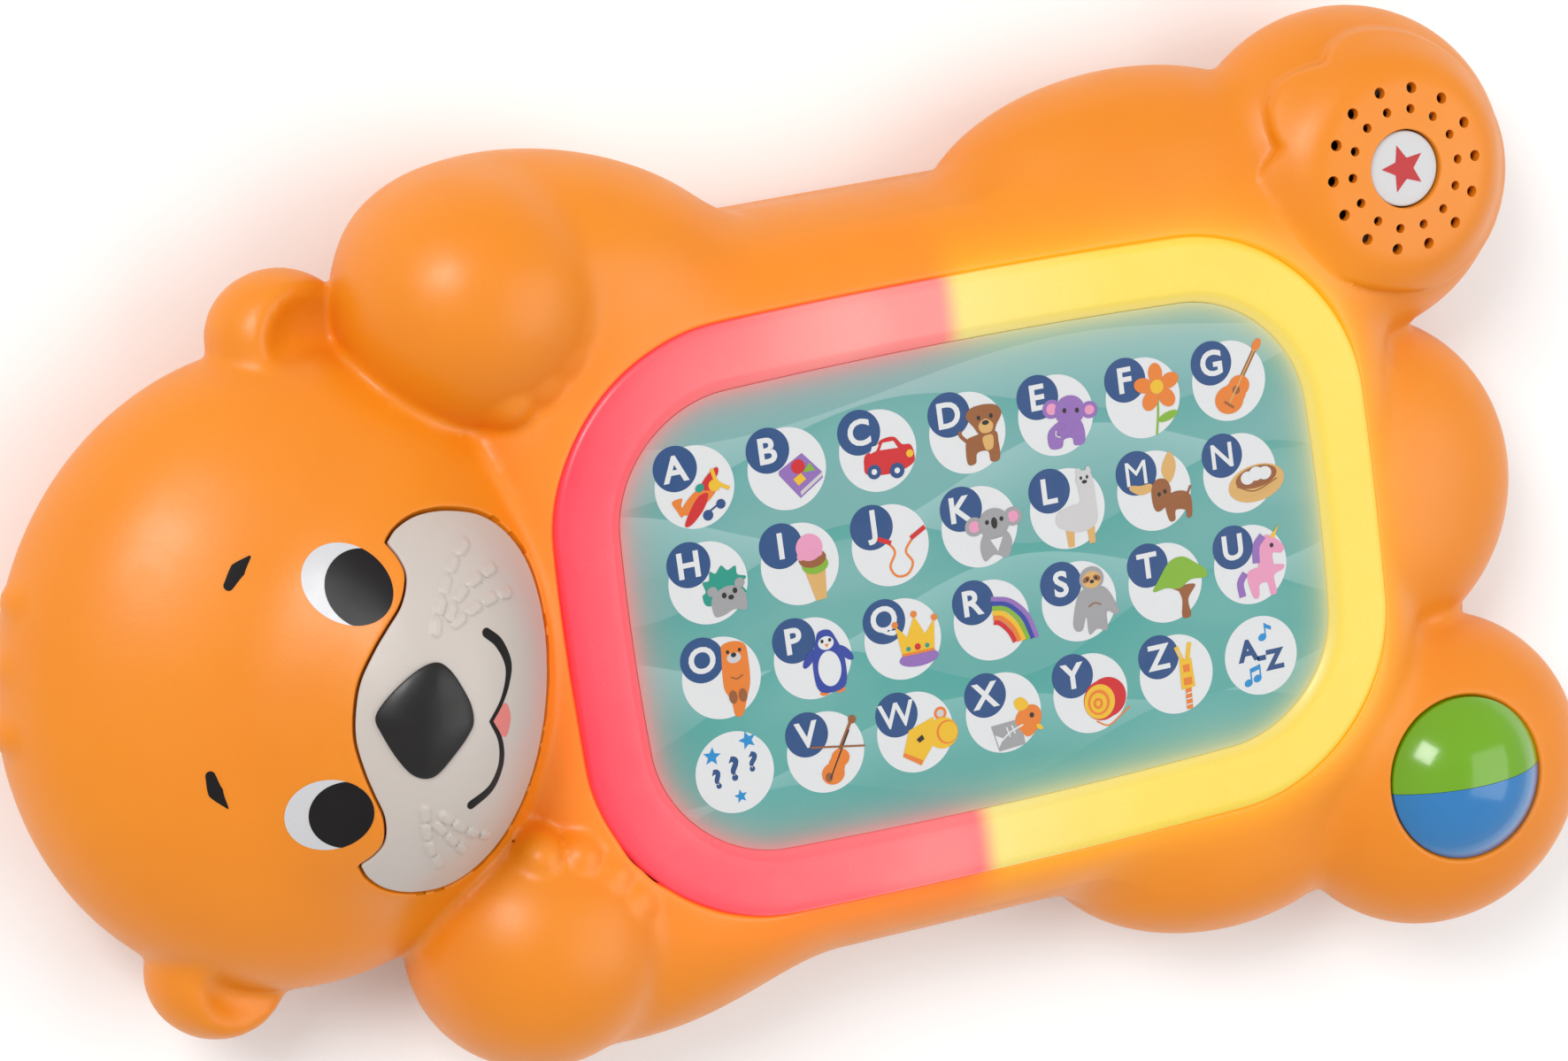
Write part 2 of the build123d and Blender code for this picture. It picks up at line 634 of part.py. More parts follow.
# ---------------------------------------------------------------- press dome
dome_crown = DOME_RIM + DOME_RISE
with BuildPart() as dome_cap:
    with BuildSketch(Plane.XZ):
        with BuildLine():
            Line((0, dome_crown), (0, dome_crown - DOME_WALL))
            ThreePointArc(
                (0, dome_crown - DOME_WALL),
                (0.52 * DOME_RADIUS, dome_crown - DOME_WALL - 0.27 * DOME_RISE),
                (DOME_RADIUS - DOME_WALL, DOME_RIM),
            )
            Polyline(
                (DOME_RADIUS - DOME_WALL, DOME_RIM),
                (DOME_RADIUS - DOME_WALL, CARRIER_TOP),
                (DOME_RADIUS, CARRIER_TOP),
                (DOME_RADIUS, DOME_RIM),
            )
            ThreePointArc(
                (DOME_RADIUS, DOME_RIM),
                (0.62 * DOME_RADIUS, DOME_RIM + 0.66 * DOME_RISE),
                (0, dome_crown),
            )
        make_face()
    revolve(axis=Axis.Z)
for name, side in (("dome_green", 1), ("dome_blue", -1)):
    with BuildPart() as dome_half:
        add(dome_cap.part)
        block((0, side * 30), (60, 60 - DOME_SPLIT), 0, 80, Mode.INTERSECT)
    save(dome_half.part.moved(Location((DOME_AT[0], DOME_AT[1], 0))), name)

carrier_base = CARRIER_PLATE_TOP - CARRIER_PLATE
with BuildPart() as dome_carrier:
    with BuildSketch(Plane.XY.offset(carrier_base)):
        with Locations(DOME_AT):
            Circle(DOME_HOLE + COLLAR_WALL)
            Circle(SPRING_RADIUS - 2, mode=Mode.SUBTRACT)
    extrude(amount=CARRIER_PLATE)
    with BuildSketch(Plane.XY.offset(CARRIER_PLATE_TOP)):
        with Locations(DOME_AT):
            Circle(DOME_RADIUS)
            Circle(DOME_RADIUS - 4, mode=Mode.SUBTRACT)
    extrude(amount=CARRIER_TOP - CARRIER_PLATE_TOP)
    post_field(2, [switch_spot], switch_top + DOME_TRAVEL + 0.2, carrier_base)
save(dome_carrier.part, "dome_carrier")

spring_height = carrier_base - BOARD_TOP - 2 * SPRING_WIRE
with BuildPart() as dome_spring:
    with BuildLine():
        coil = Helix(spring_height / SPRING_TURNS, spring_height, SPRING_RADIUS)
    with BuildSketch(coil ^ 0):
        Circle(SPRING_WIRE)
    sweep(path=coil, is_frenet=True)
spring_seat = Location((DOME_AT[0], DOME_AT[1], BOARD_TOP + SPRING_WIRE))
save(dome_spring.part.moved(spring_seat), "dome_spring")

with BuildPart() as dome_board:
    block(DOME_AT, DOME_BOARD, PARTING, BOARD_TOP)
    bores(BOARD_HOLE, dome_board_screws, PARTING - 1, BOARD_TOP + 1)
save(dome_board.part, "dome_board")

with BuildPart() as dome_switch:
    block(switch_spot, (6, 6), BOARD_TOP, BOARD_TOP + 3.5)
    post_field(1.75, [switch_spot], BOARD_TOP + 3.5, switch_top)
save(dome_switch.part, "dome_switch")

with BuildPart() as dome_led:
    post_field(2.9, [DOME_AT], BOARD_TOP, BOARD_TOP + 1)
    post_field(2.5, [DOME_AT], BOARD_TOP, BOARD_TOP + 6)
    fillet(dome_led.edges().group_by(Axis.Z)[-1], 2.4)
save(dome_led.part, "dome_led")

# --------------------------------------------------------------- main board
with BuildPart() as main_board:
    block(MAIN_BOARD_AT, MAIN_BOARD_SIZE, PARTING, BOARD_TOP)
    bores(BOARD_HOLE, main_board_screws, PARTING - 1, BOARD_TOP + 1)
save(main_board.part, "main_board")

with BuildPart() as controller_chip:
    block((MAIN_BOARD_AT[0] + 6, MAIN_BOARD_AT[1] + 6), (14, 14), BOARD_TOP, BOARD_TOP + 1.6)
    chamfer(controller_chip.edges().group_by(Axis.Z)[-1], 0.4)
save(controller_chip.part, "controller_chip")

capacitor_spots = [
    (MAIN_BOARD_AT[0] - 14, MAIN_BOARD_AT[1] - 8),
    (MAIN_BOARD_AT[0] - 14, MAIN_BOARD_AT[1] + 8),
]
with BuildPart() as capacitors:
    post_field(4, capacitor_spots, BOARD_TOP, BOARD_TOP + 7)
    fillet(capacitors.edges().group_by(Axis.Z)[-1], 0.6)
save(capacitors.part, "capacitors")

save(small_screws(main_board_screws + dome_board_screws, BOARD_TOP, 5, -1), "board_screws")

with BuildPart() as ribbon_cable:
    ribbon_route = [
        (30, 0, touch_board_base),
        (30, 0, 34),
        (42, 0, 30),
        (42, 0, BOARD_TOP),
    ]
    with BuildLine() as ribbon_line:
        FilletPolyline(*ribbon_route, radius=3.5)
    with BuildSketch(ribbon_line.line ^ 0):
        Rectangle(0.5, 12)
    sweep(path=ribbon_line.line)
save(ribbon_cable.part, "ribbon_cable")

# --------------------------------------------------------------- battery bay
cell_rows = [BAY_AT[1] + CELL_PITCH * step for step in (-1, 0, 1)]
cell_level = DOOR_THICKNESS + 1.2 + CELL_RADIUS
bay_end = BAY_LENGTH / 2
with BuildPart() as battery_cells:
    for row, y in enumerate(cell_rows):
        way = 1 if row % 2 else -1
        start = Plane(
            origin=(BAY_AT[0] - way * (bay_end - CONTACT_THICKNESS - CELL_SPRING), y, cell_level),
            z_dir=(way, 0, 0),
        )
        with BuildSketch(start):
            Circle(CELL_RADIUS)
        extrude(amount=CELL_LENGTH - CELL_NUB)
        with BuildSketch(start):
            Circle(2.75)
        extrude(amount=CELL_LENGTH)
save(battery_cells.part, "battery_cells")

with BuildPart() as battery_contacts:
    for end in (-1, 1):
        contact_x = BAY_AT[0] + end * (bay_end - CONTACT_THICKNESS / 2)
        for y in cell_rows:
            block((contact_x, y), (CONTACT_THICKNESS, 11), cell_level - 5.5, cell_level + 5.5)
save(battery_contacts.part, "battery_contacts")

with BuildPart() as cell_spring:
    with BuildLine():
        cell_coil = Helix((CELL_SPRING - 1) / 4, CELL_SPRING - 1, 3.4)
    with BuildSketch(cell_coil ^ 0):
        Circle(0.4)
    sweep(path=cell_coil, is_frenet=True)

with BuildPart() as battery_springs:
    for row, y in enumerate(cell_rows):
        way = 1 if row % 2 else -1
        root = Plane(
            origin=(BAY_AT[0] - way * (bay_end - CONTACT_THICKNESS - 0.5), y, cell_level),
            z_dir=(way, 0, 0),
        )
        with Locations(root.location):
            add(cell_spring.part)
save(battery_springs.part, "battery_springs")

with BuildPart() as battery_door:
    block(BAY_AT, (DOOR_LENGTH, DOOR_WIDTH), 0, DOOR_THICKNESS)
    for tab in door_tabs:
        block(tab, (DOOR_TAB[0] + 0.1, DOOR_TAB[1]), 0, DOOR_THICKNESS)
    post_field(POST_RADIUS, [door_screw], 0, DOOR_BOSS_TOP)
    bores(SCREW_HEAD_RADIUS + 0.3, [door_screw], -1, DOOR_SCREW_SEAT)
    bores(SCREW_RADIUS + 0.25, [door_screw], 0, DOOR_BOSS_TOP + 1)
save(battery_door.part, "battery_door")

save(screws([door_screw], DOOR_SCREW_SEAT, 10.5), "battery_door_screw")
save(screws(CASE_SCREWS, SCREW_SEAT, SCREW_LENGTH), "case_screws")

# -------------------------------------------------------------- power switch
knob_spot = (POWER_AT[0] - POWER_TRAVEL / 2, POWER_AT[1])
with BuildPart() as power_knob:
    block(knob_spot, (KNOB_LENGTH, KNOB_WIDTH), 0.4, 2.8)
    for ridge in (-3, -1, 1, 3):
        block((knob_spot[0] + ridge, knob_spot[1]), (0.8, KNOB_WIDTH), 0.2, 1.0)
    block(knob_spot, (4, 4), 2, BASE_PAD + 2)
save(power_knob.part, "power_knob")

with BuildPart() as power_switch:
    block(POWER_AT, (24, 10), BASE_PAD, PARTING - 5)
    block(POWER_AT, (POWER_TRAVEL + 5, 5), 0, BASE_PAD + 2.5, Mode.SUBTRACT)
save(power_switch.part, "power_switch")

# --------------------------------------------------------------------- wires
board_edge = MAIN_BOARD_AT[0] + MAIN_BOARD_SIZE[0] / 2
speaker_run = [
    (SPEAKER_AT[0] - 11, SPEAKER_AT[1] - 8, magnet_top - 3),
    (SPEAKER_AT[0] - 11, SPEAKER_AT[1] - 8, 22.5),
    (board_edge, 34, 22),
    (board_edge - 6, 26, BOARD_TOP + 4),
    (board_edge - 6, 26, BOARD_TOP),
]
save(wire_pair(speaker_run, 2.5, (1, 0)), "speaker_wires")
dome_run = [
    (DOME_AT[0] - 12, DOME_AT[1] + 8, BOARD_TOP),
    (DOME_AT[0] - 12, DOME_AT[1] + 8, BOARD_TOP + 5),
    (board_edge, -32, BOARD_TOP + 5.5),
    (board_edge - 6, -25, BOARD_TOP + 4),
    (board_edge - 6, -25, BOARD_TOP),
]
save(wire_pair(dome_run, 2.5, (1, 0)), "dome_wires")
battery_run = [
    (BAY_AT[0] + bay_outer[0] / 2, -14, BAY_TOP),
    (BAY_AT[0] + bay_outer[0] / 2 + 8, -14, BAY_TOP),
    (MAIN_BOARD_AT[0] - 26, -14, BOARD_TOP + 5),
    (MAIN_BOARD_AT[0] - 26, -14, BOARD_TOP),
]
save(wire_pair(battery_run, 2.5, (0, 1)), "battery_wires")
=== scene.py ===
"""Looks of the otter-shaped toy tablet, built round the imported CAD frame.

Lengths are in millimetres in the object's own frame (+X to the feet, +Y across
the belly, +Z up) and turned into metres when a mesh is made.
"""
import json
import math

import bmesh
import bpy
import numpy as np
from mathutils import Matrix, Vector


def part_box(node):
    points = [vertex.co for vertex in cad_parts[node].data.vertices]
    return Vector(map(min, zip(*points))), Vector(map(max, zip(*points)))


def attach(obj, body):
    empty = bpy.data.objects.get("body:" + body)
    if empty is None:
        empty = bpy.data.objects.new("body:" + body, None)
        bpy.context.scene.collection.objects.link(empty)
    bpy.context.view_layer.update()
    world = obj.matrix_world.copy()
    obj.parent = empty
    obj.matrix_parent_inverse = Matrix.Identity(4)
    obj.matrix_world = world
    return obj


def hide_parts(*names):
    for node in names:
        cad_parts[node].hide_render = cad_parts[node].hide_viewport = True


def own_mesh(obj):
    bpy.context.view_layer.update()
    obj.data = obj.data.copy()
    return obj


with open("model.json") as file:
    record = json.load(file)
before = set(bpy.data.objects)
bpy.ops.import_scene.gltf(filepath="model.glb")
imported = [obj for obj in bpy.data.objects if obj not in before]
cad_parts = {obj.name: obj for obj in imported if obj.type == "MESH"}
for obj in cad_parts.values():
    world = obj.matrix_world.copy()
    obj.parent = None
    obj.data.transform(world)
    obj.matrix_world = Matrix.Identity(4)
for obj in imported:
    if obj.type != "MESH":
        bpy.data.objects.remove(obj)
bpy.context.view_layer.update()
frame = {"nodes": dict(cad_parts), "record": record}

MM = 0.001
SCREEN_GAMMA = 2.4

# ------------------------------------------------------------ named sizes
WALL = 2.2
PARTING = 16.0
PARTING_GAP = 0.09
BASE_ROUND = 1.5
SEAM_FADE = 12.0              # height over which blends grow from the parting plane
SEAM_GAP = 0.15               # between the shell and what sits in its openings
NET_STEP = 1.7
NET_BOX = ((-212.0, -110.0, 8.0), (148.0, 108.0, 78.0))
FAR = 20.0

TORSO_HALF = (107.5, 79.0)
TORSO_CENTRE = (-0.5, 1.5)
TORSO_HEIGHT = 46.5
TORSO_CORNER = 42.0
TORSO_TOP_EDGE = 26.0
TORSO_BASE_EDGE = 12.0

HEAD_CENTRE = (-143.5, 6.0)
HEAD_TURN = math.radians(166.4)
FACE_SHIFT = 1.5
HEAD_BLEND = 3.2
EAR_RADII = (15, 14, 12)
EAR_HOLLOW = (18, 15, 13)
EAR_BLEND = 2.0
TUFT_RADII = (6, 4.5, 6)

PANEL_TOP = 45.0
PANEL_HALF = (77.5, 49.0)
PANEL_CORNER = 24.0
PANEL_BOW = 2.5
RING_BAND = 13.5
RING_CORNER = 37.0

SPEAKER_AT = (103.8, 67.9)
SOUND_RINGS = ((17.0, 1.2), (12.6, 1.0))  # ring radius, hole radius
SOUND_COUNT = 14
BADGE_HOLE = 8.3
BADGE_FLOOR = 48.35
STAR_SIZE = 5.2
SOLE_BOX = ((60, 30, 24), (145, 110, 60))
SOLE_LUMP = ((101.5, 66, 25), (39.4, 38, 24.9))
SOLE_TOP = 49.2
SOLE_FLAT = 25.0
SOLE_ROUND = 8.0
PAW_BOX = ((-125, -80, 28), (-60, 90, 60))
TOE_REACH = 0.82              # share of the way from the paw's middle to its tip
TOE_LEVEL = 39.0
TOE_RADII = (6.2, 6.2, 9.2)
DOME_AT = (105.6, -66.7)
DOME_HOLE = 18.3

# ------------------------------------------------------------ small helpers
def head_point(along, across, height=0.0):
    """A place in the head's frame, as a place in the object's frame."""
    cosine, sine = math.cos(HEAD_TURN), math.sin(HEAD_TURN)
    x = HEAD_CENTRE[0] + along * cosine - across * sine
    y = HEAD_CENTRE[1] + along * sine + across * cosine
    return (x, y, height)


def head_frame(points):
    """Points of the object's frame, as (along, across) in the head's."""
    cosine, sine = math.cos(HEAD_TURN), math.sin(HEAD_TURN)
    x = points[..., 0] - HEAD_CENTRE[0]
    y = points[..., 1] - HEAD_CENTRE[1]
    return x * cosine + y * sine, -x * sine + y * cosine


def smooth_min(a, b, radius):
    """Union of two fields with a blend of the given radius."""
    overlap = np.maximum(radius - np.abs(a - b), 0) / radius
    return np.minimum(a, b) - overlap * overlap * radius * 0.25


def smooth_max(a, b, radius):
    """Intersection of two fields with a blend of the given radius."""
    return -smooth_min(-a, -b, radius)


def ellipsoid(points, centre, radii, turn=0.0):
    """Distance field of an ellipsoid turned about the vertical axis."""
    x, y, z = (points[..., i] - centre[i] for i in range(3))
    cosine, sine = math.cos(turn), math.sin(turn)
    x, y = x * cosine + y * sine, -x * sine + y * cosine
    near = np.sqrt((x / radii[0]) ** 2 + (y / radii[1]) ** 2 + (z / radii[2]) ** 2)
    slope = np.sqrt((x / radii[0] ** 2) ** 2 + (y / radii[1] ** 2) ** 2 + (z / radii[2] ** 2) ** 2)
    return near * (near - 1) / np.maximum(slope, 1e-6)


def rounded_corner(a, b):
    """Distance to the corner between two half planes, before its radius is taken off."""
    return np.hypot(np.maximum(a, 0), np.maximum(b, 0)) + np.minimum(np.maximum(a, b), 0)


def bowed_box(x, y, half_x, half_y, corner, bow):
    """Plan distance to a rounded rectangle whose sides bow outwards."""
    radius_x = (half_y ** 2 + bow ** 2) / (2 * bow)
    radius_y = (half_x ** 2 + bow ** 2) / (2 * bow)
    side_x = np.hypot(np.abs(x) + radius_x - half_x, y) - radius_x + corner
    side_y = np.hypot(x, np.abs(y) + radius_y - half_y) - radius_y + corner
    return rounded_corner(side_x, side_y) - corner


def panel_edge(x, y):
    """Plan distance outside the touch panel's edge."""
    return bowed_box(x, y, *PANEL_HALF, PANEL_CORNER, PANEL_BOW)


def ring_edge(x, y):
    """Plan distance outside the light ring's outer edge."""
    half = (PANEL_HALF[0] + RING_BAND, PANEL_HALF[1] + RING_BAND)
    return bowed_box(x, y, *half, RING_CORNER, PANEL_BOW)


# ------------------------------------------------------------ the body's form
# Each limb: centre, radii, turn in degrees, and the blend into what is there.
LIMBS = [
    ((97, -3, 21), (38, 38, 21), 0, 3.0),
    ((49, 71, 21), (44, 25, 21), 4, 6.0),
    ((53, -69, 20), (39, 25, 21), -3, 6.0),
    ((101.5, 66, 25), (37.5, 36, 23), 0, 4.0),
    ((106, -68, 25), (36.5, 35, 23), 0, 4.0),
    ((-78, 75, 24), (43, 25, 24), -14, 7.0),
    ((-78, -64, 22), (42, 22, 22), 6, 7.0),
    ((-97, 74, 30), (27.5, 26.5, 27), 0, 3.0),
    ((-102, -59, 28), (27.5, 27, 26), 0, 3.0),
]


def torso(points):
    """The rounded slab of the belly."""
    x, y = points[..., 0] - TORSO_CENTRE[0], points[..., 1] - TORSO_CENTRE[1]
    side_x = np.abs(x) - TORSO_HALF[0] + TORSO_CORNER
    side_y = np.abs(y) - TORSO_HALF[1] + TORSO_CORNER
    plan = rounded_corner(side_x, side_y) - TORSO_CORNER
    top, base = TORSO_TOP_EDGE, TORSO_BASE_EDGE
    upper = rounded_corner(plan + top, points[..., 2] - TORSO_HEIGHT + top) - top
    lower = rounded_corner(plan + base, -points[..., 2] + base) - base
    return np.maximum(upper, lower)


def head(points):
    """The head with its snout."""
    skull = ellipsoid(points, head_point(0, 0, 24), (58.5, 65.5, 34), HEAD_TURN)
    snout = ellipsoid(points, head_point(-18, FACE_SHIFT, 44), (27, 38, 27), HEAD_TURN)
    form = smooth_min(skull, snout, 12)
    for across in (-11.5, 1.5, 14.5):
        form = smooth_min(form, ellipsoid(points, head_point(53, across, 27), TUFT_RADII, HEAD_TURN), 2)
    return form


# Outline of the raised sole, anticlockwise from its outer side: three toes.
SOLE_OUTLINE = [
    (134, 70), (127, 84), (118.5, 92.5), (109, 96.5), (101, 97), (95, 94.5), (92.5, 91), (88, 91), (82.5, 89.5),
    (78.7, 85), (78.2, 79.5), (79.3, 75.6), (74.8, 72), (71.5, 67), (73, 61.5), (79, 54), (88, 48), (100, 43.5),
    (113, 40.5), (126, 46), (133, 57),
]
# Tips of the toes on the paws, in plan.
PAWS = [
    ((-97, 74), [(-77.5, 65.5), (-81, 58.5), (-87, 53), (-94.5, 49.5)]),
    ((-102, -59), [(-102.8, -34.5), (-93, -36.5), (-86, -42.5), (-81, -50)]),
]
EARS = [(7, -66, 25), (9.5, 62, 24)]


def where_near(points, box, field, far=FAR):
    """A costly field, worked out only inside a box."""
    near = np.all((points > np.array(box[0])) & (points < np.array(box[1])), axis=-1)
    value = np.full(points.shape[:-1], far)
    value[near] = field(points[near])
    return value


def sole(points):
    """The raised sole over the speaker, lobed like toes."""
    lump = ellipsoid(points, *SOLE_LUMP)
    pad = smooth_max(lump, loop_distance(points[..., :2], SOLE_LOOP), 1.2)
    x, y = points[..., 0] - SPEAKER_AT[0], points[..., 1] - SPEAKER_AT[1]
    across, up = np.hypot(x, y) - SOLE_FLAT + SOLE_ROUND, points[..., 2] - SOLE_TOP + SOLE_ROUND
    flat = rounded_corner(across, up) - SOLE_ROUND
    return smooth_min(pad, np.maximum(flat, 30 - points[..., 2]), 6)


def toes(points):
    """Four small toes on each paw."""
    form = np.full(points.shape[:-1], FAR)
    for paw, tips in PAWS:
        for tip in tips:
            x, y = (a + TOE_REACH * (b - a) for a, b in zip(paw, tip))
            form = np.minimum(form, ellipsoid(points, (x, y, TOE_LEVEL), TOE_RADII))
    return form


def body(points):
    """Distance field of the whole body; negative inside."""
    form = torso(points)
    rise = np.clip((points[..., 2] - PARTING) / SEAM_FADE, 0.001, 1)
    for centre, radii, turn, blend in LIMBS:
        form = smooth_min(form, ellipsoid(points, centre, radii, math.radians(turn)), blend * rise)
    form = smooth_min(form, where_near(points, SOLE_BOX, sole), 0.8)
    form = smooth_min(form, where_near(points, PAW_BOX, toes), 2)
    for ear, way in zip(EARS, (-1, 1)):
        lobe = ellipsoid(points, head_point(*ear), EAR_RADII, HEAD_TURN)
        hollow = ellipsoid(points, head_point(ear[0] - 12, ear[1] + way, ear[2] + 15), EAR_HOLLOW, HEAD_TURN)
        form = smooth_min(form, smooth_max(lobe, -hollow, 3.5), EAR_BLEND * rise)
    form = smooth_min(form, head(points), HEAD_BLEND * rise)
    return smooth_max(form, -points[..., 2], BASE_ROUND)


# ------------------------------------------------------------ meshing a field
def gradient(field, points, reach=0.05):
    """Slope of a field at points, by central differences."""
    slope = np.empty_like(points)
    for axis in range(3):
        shift = np.zeros(3)
        shift[axis] = reach
        slope[:, axis] = (field(points + shift) - field(points - shift)) / (2 * reach)
    return slope


def settle(field, points, rounds=3):
    """Move points onto the field's zero surface."""
    for _ in range(rounds):
        slope = gradient(field, points)
        size = np.maximum((slope ** 2).sum(1), 1e-3)
        points = points - (field(points) / size)[:, None] * slope
    return points


def surface_net(field, low, high, step):
    """Triangles of a field's zero surface: one vertex in each cell it crosses."""
    axes = [np.arange(a, b + step, step) for a, b in zip(low, high)]
    grid = np.stack(np.meshgrid(*axes, indexing="ij"), -1)
    value = field(grid)
    cells = tuple(n - 1 for n in value.shape)
    total = np.zeros(cells + (3,))
    count = np.zeros(cells)
    crossings = []
    for axis in range(3):
        start = tuple(slice(0, -1) if i == axis else slice(None) for i in range(3))
        end = tuple(slice(1, None) if i == axis else slice(None) for i in range(3))
        a, b = value[start], value[end]
        cross = (a < 0) != (b < 0)
        where = np.argwhere(cross)
        share = a[cross] / (a[cross] - b[cross])
        point = grid[start][cross].copy()
        point[:, axis] += share * step
        crossings.append((axis, where, a[cross] < 0))
        others = [i for i in range(3) if i != axis]
        for first in (0, 1):
            for second in (0, 1):
                cell = where.copy()
                cell[:, others[0]] -= first
                cell[:, others[1]] -= second
                good = np.all((cell >= 0) & (cell < np.array(cells)), axis=1)
                index = tuple(cell[good].T)
                np.add.at(total, index, point[good])
                np.add.at(count, index, 1)
    used = count > 0
    number = -np.ones(cells, int)
    number[used] = np.arange(used.sum())
    verts = total[used] / count[used][:, None]
    quads = []
    for axis, where, inside in crossings:
        first, second = (axis + 1) % 3, (axis + 2) % 3
        limit = np.array(cells)
        good = (where[:, first] > 0) & (where[:, second] > 0)
        good &= (where[:, first] < limit[first]) & (where[:, second] < limit[second])
        corner = []
        for step_first, step_second in ((1, 1), (0, 1), (0, 0), (1, 0)):
            cell = where[good].copy()
            cell[:, first] -= step_first
            cell[:, second] -= step_second
            corner.append(number[tuple(cell.T)])
        quad = np.stack(corner, 1)
        flip = ~inside[good]
        quad[flip] = quad[flip][:, ::-1]
        quads.append(quad)
    verts = settle(field, verts)
    quads = np.concatenate(quads)
    return verts, split_quads(verts, quads)


def halves(quads):
    """Two triangles for each quad."""
    return np.concatenate([quads[:, [0, 1, 2]], quads[:, [0, 2, 3]]])


def split_quads(verts, quads):
    """Cut each quad along its shorter diagonal."""
    short = np.linalg.norm(verts[quads[:, 0]] - verts[quads[:, 2]], axis=1)
    other = np.linalg.norm(verts[quads[:, 1]] - verts[quads[:, 3]], axis=1)
    first = short <= other
    a = np.concatenate([quads[first][:, [0, 1, 2]], quads[first][:, [0, 2, 3]]])
    b = np.concatenate([quads[~first][:, [0, 1, 3]], quads[~first][:, [1, 2, 3]]])
    return np.concatenate([a, b])


def refine(field, verts, tris, near):
    """Split the triangles whose middle lies near a feature, once."""
    mesh = bmesh.new()
    for vert in verts:
        mesh.verts.new(vert)
    mesh.verts.ensure_lookup_table()
    for tri in tris:
        mesh.faces.new([mesh.verts[i] for i in tri])
    middles = verts[tris].mean(1)
    chosen = near(middles)
    mesh.faces.ensure_lookup_table()
    mesh.edges.index_update()
    mesh.edges.ensure_lookup_table()
    edges = sorted({edge.index for index in np.nonzero(chosen)[0] for edge in mesh.faces[index].edges})
    bmesh.ops.subdivide_edges(mesh, edges=[mesh.edges[i] for i in edges], cuts=1, use_grid_fill=True)
    bmesh.ops.triangulate(mesh, faces=mesh.faces[:])
    mesh.verts.index_update()
    verts = np.array([vert.co[:] for vert in mesh.verts])
    tris = np.array([[vert.index for vert in face.verts] for face in mesh.faces])
    mesh.free()
    return settle(field, verts, 1), tris


def pull(field, edge, points, rounds=3):
    """Move points onto both the surface and the zero line of an edge function."""
    for _ in range(rounds):
        slope = gradient(edge, points)
        size = np.maximum((slope ** 2).sum(1), 1e-3)
        points = points - (edge(points) / size)[:, None] * slope
        points = settle(field, points, 1)
    return points


def clip(field, edge, verts, tris, snap=0.3):
    """Keep the part of a surface where the edge function is positive."""
    value = edge(verts)
    close = np.abs(value) < snap
    if close.any():
        verts = verts.copy()
        verts[close] = pull(field, edge, verts[close])
        value[close] = 0.0
    side = np.sign(value[tris])
    keep = list(tris[(side >= 0).all(1) & (side > 0).any(1)])
    mixed = tris[(side > 0).any(1) & (side < 0).any(1)]
    fresh, order = {}, []

    def crossing(a, b):
        key = (a, b) if a < b else (b, a)
        if key not in fresh:
            fresh[key] = len(verts) + len(order)
            share = value[a] / (value[a] - value[b])
            order.append(verts[a] + (verts[b] - verts[a]) * share)
        return fresh[key]

    for tri in mixed:
        loop = []
        for i in range(3):
            a, b = tri[i], tri[(i + 1) % 3]
            if value[a] >= 0:
                loop.append(a)
            if value[a] * value[b] < 0:
                loop.append(crossing(a, b))
        for i in range(1, len(loop) - 1):
            keep.append(np.array([loop[0], loop[i], loop[i + 1]]))
    if order:
        verts = np.concatenate([verts, pull(field, edge, np.array(order))])
    tris = np.array(keep)
    used = np.unique(tris)
    place = -np.ones(len(verts), int)
    place[used] = np.arange(len(used))
    return verts[used], place[tris]


def open_edges(tris):
    """Directed border edges of a triangle mesh."""
    edges = np.concatenate([tris[:, [0, 1]], tris[:, [1, 2]], tris[:, [2, 0]]])
    there = {(a, b) for a, b in edges}
    return [(a, b) for a, b in there if (b, a) not in there]


def add_rings(verts, tris, border, rings):
    """Sew rings of new points to a border, one after another."""
    ids = sorted({a for a, _ in border} | {b for _, b in border})
    slot = {vert: i for i, vert in enumerate(ids)}
    last = {vert: vert for vert in ids}
    new_verts, new_tris = [verts], [tris]
    count = len(verts)
    for ring in rings(verts[ids]):
        new_verts.append(ring)
        current = {vert: count + slot[vert] for vert in ids}
        faces = []
        for a, b in border:
            faces.append((b, a, current[a]) if last[a] == a else (last[b], last[a], current[a]))
            faces.append((last[b], current[a], current[b]))
        new_tris.append(np.array(faces))
        last = current
        count += len(ids)
    return np.concatenate(new_verts), np.concatenate(new_tris)


def rolled_rim(field, edge, radius, wall, floor=None):
    """Rings that turn a surface's edge down into a wall."""
    def rings(points):
        away = gradient(edge, points)
        away[:, 2] = 0
        away /= np.linalg.norm(away, axis=1)[:, None]
        normal = gradient(field, points)
        normal /= np.linalg.norm(normal, axis=1)[:, None]
        corner = settle(field, points - away * radius, 2)
        if floor is not None:
            normal = np.tile((0.0, 0.0, 1.0), (len(points), 1))
        below = corner - normal * radius
        for share in (0.25, 0.5, 0.75, 1.0):
            yield (1 - share) ** 2 * points + 2 * share * (1 - share) * corner + share ** 2 * below
        deep = below - normal * wall
        if floor is not None:
            deep[:, 2] = floor
        yield deep
    return rings


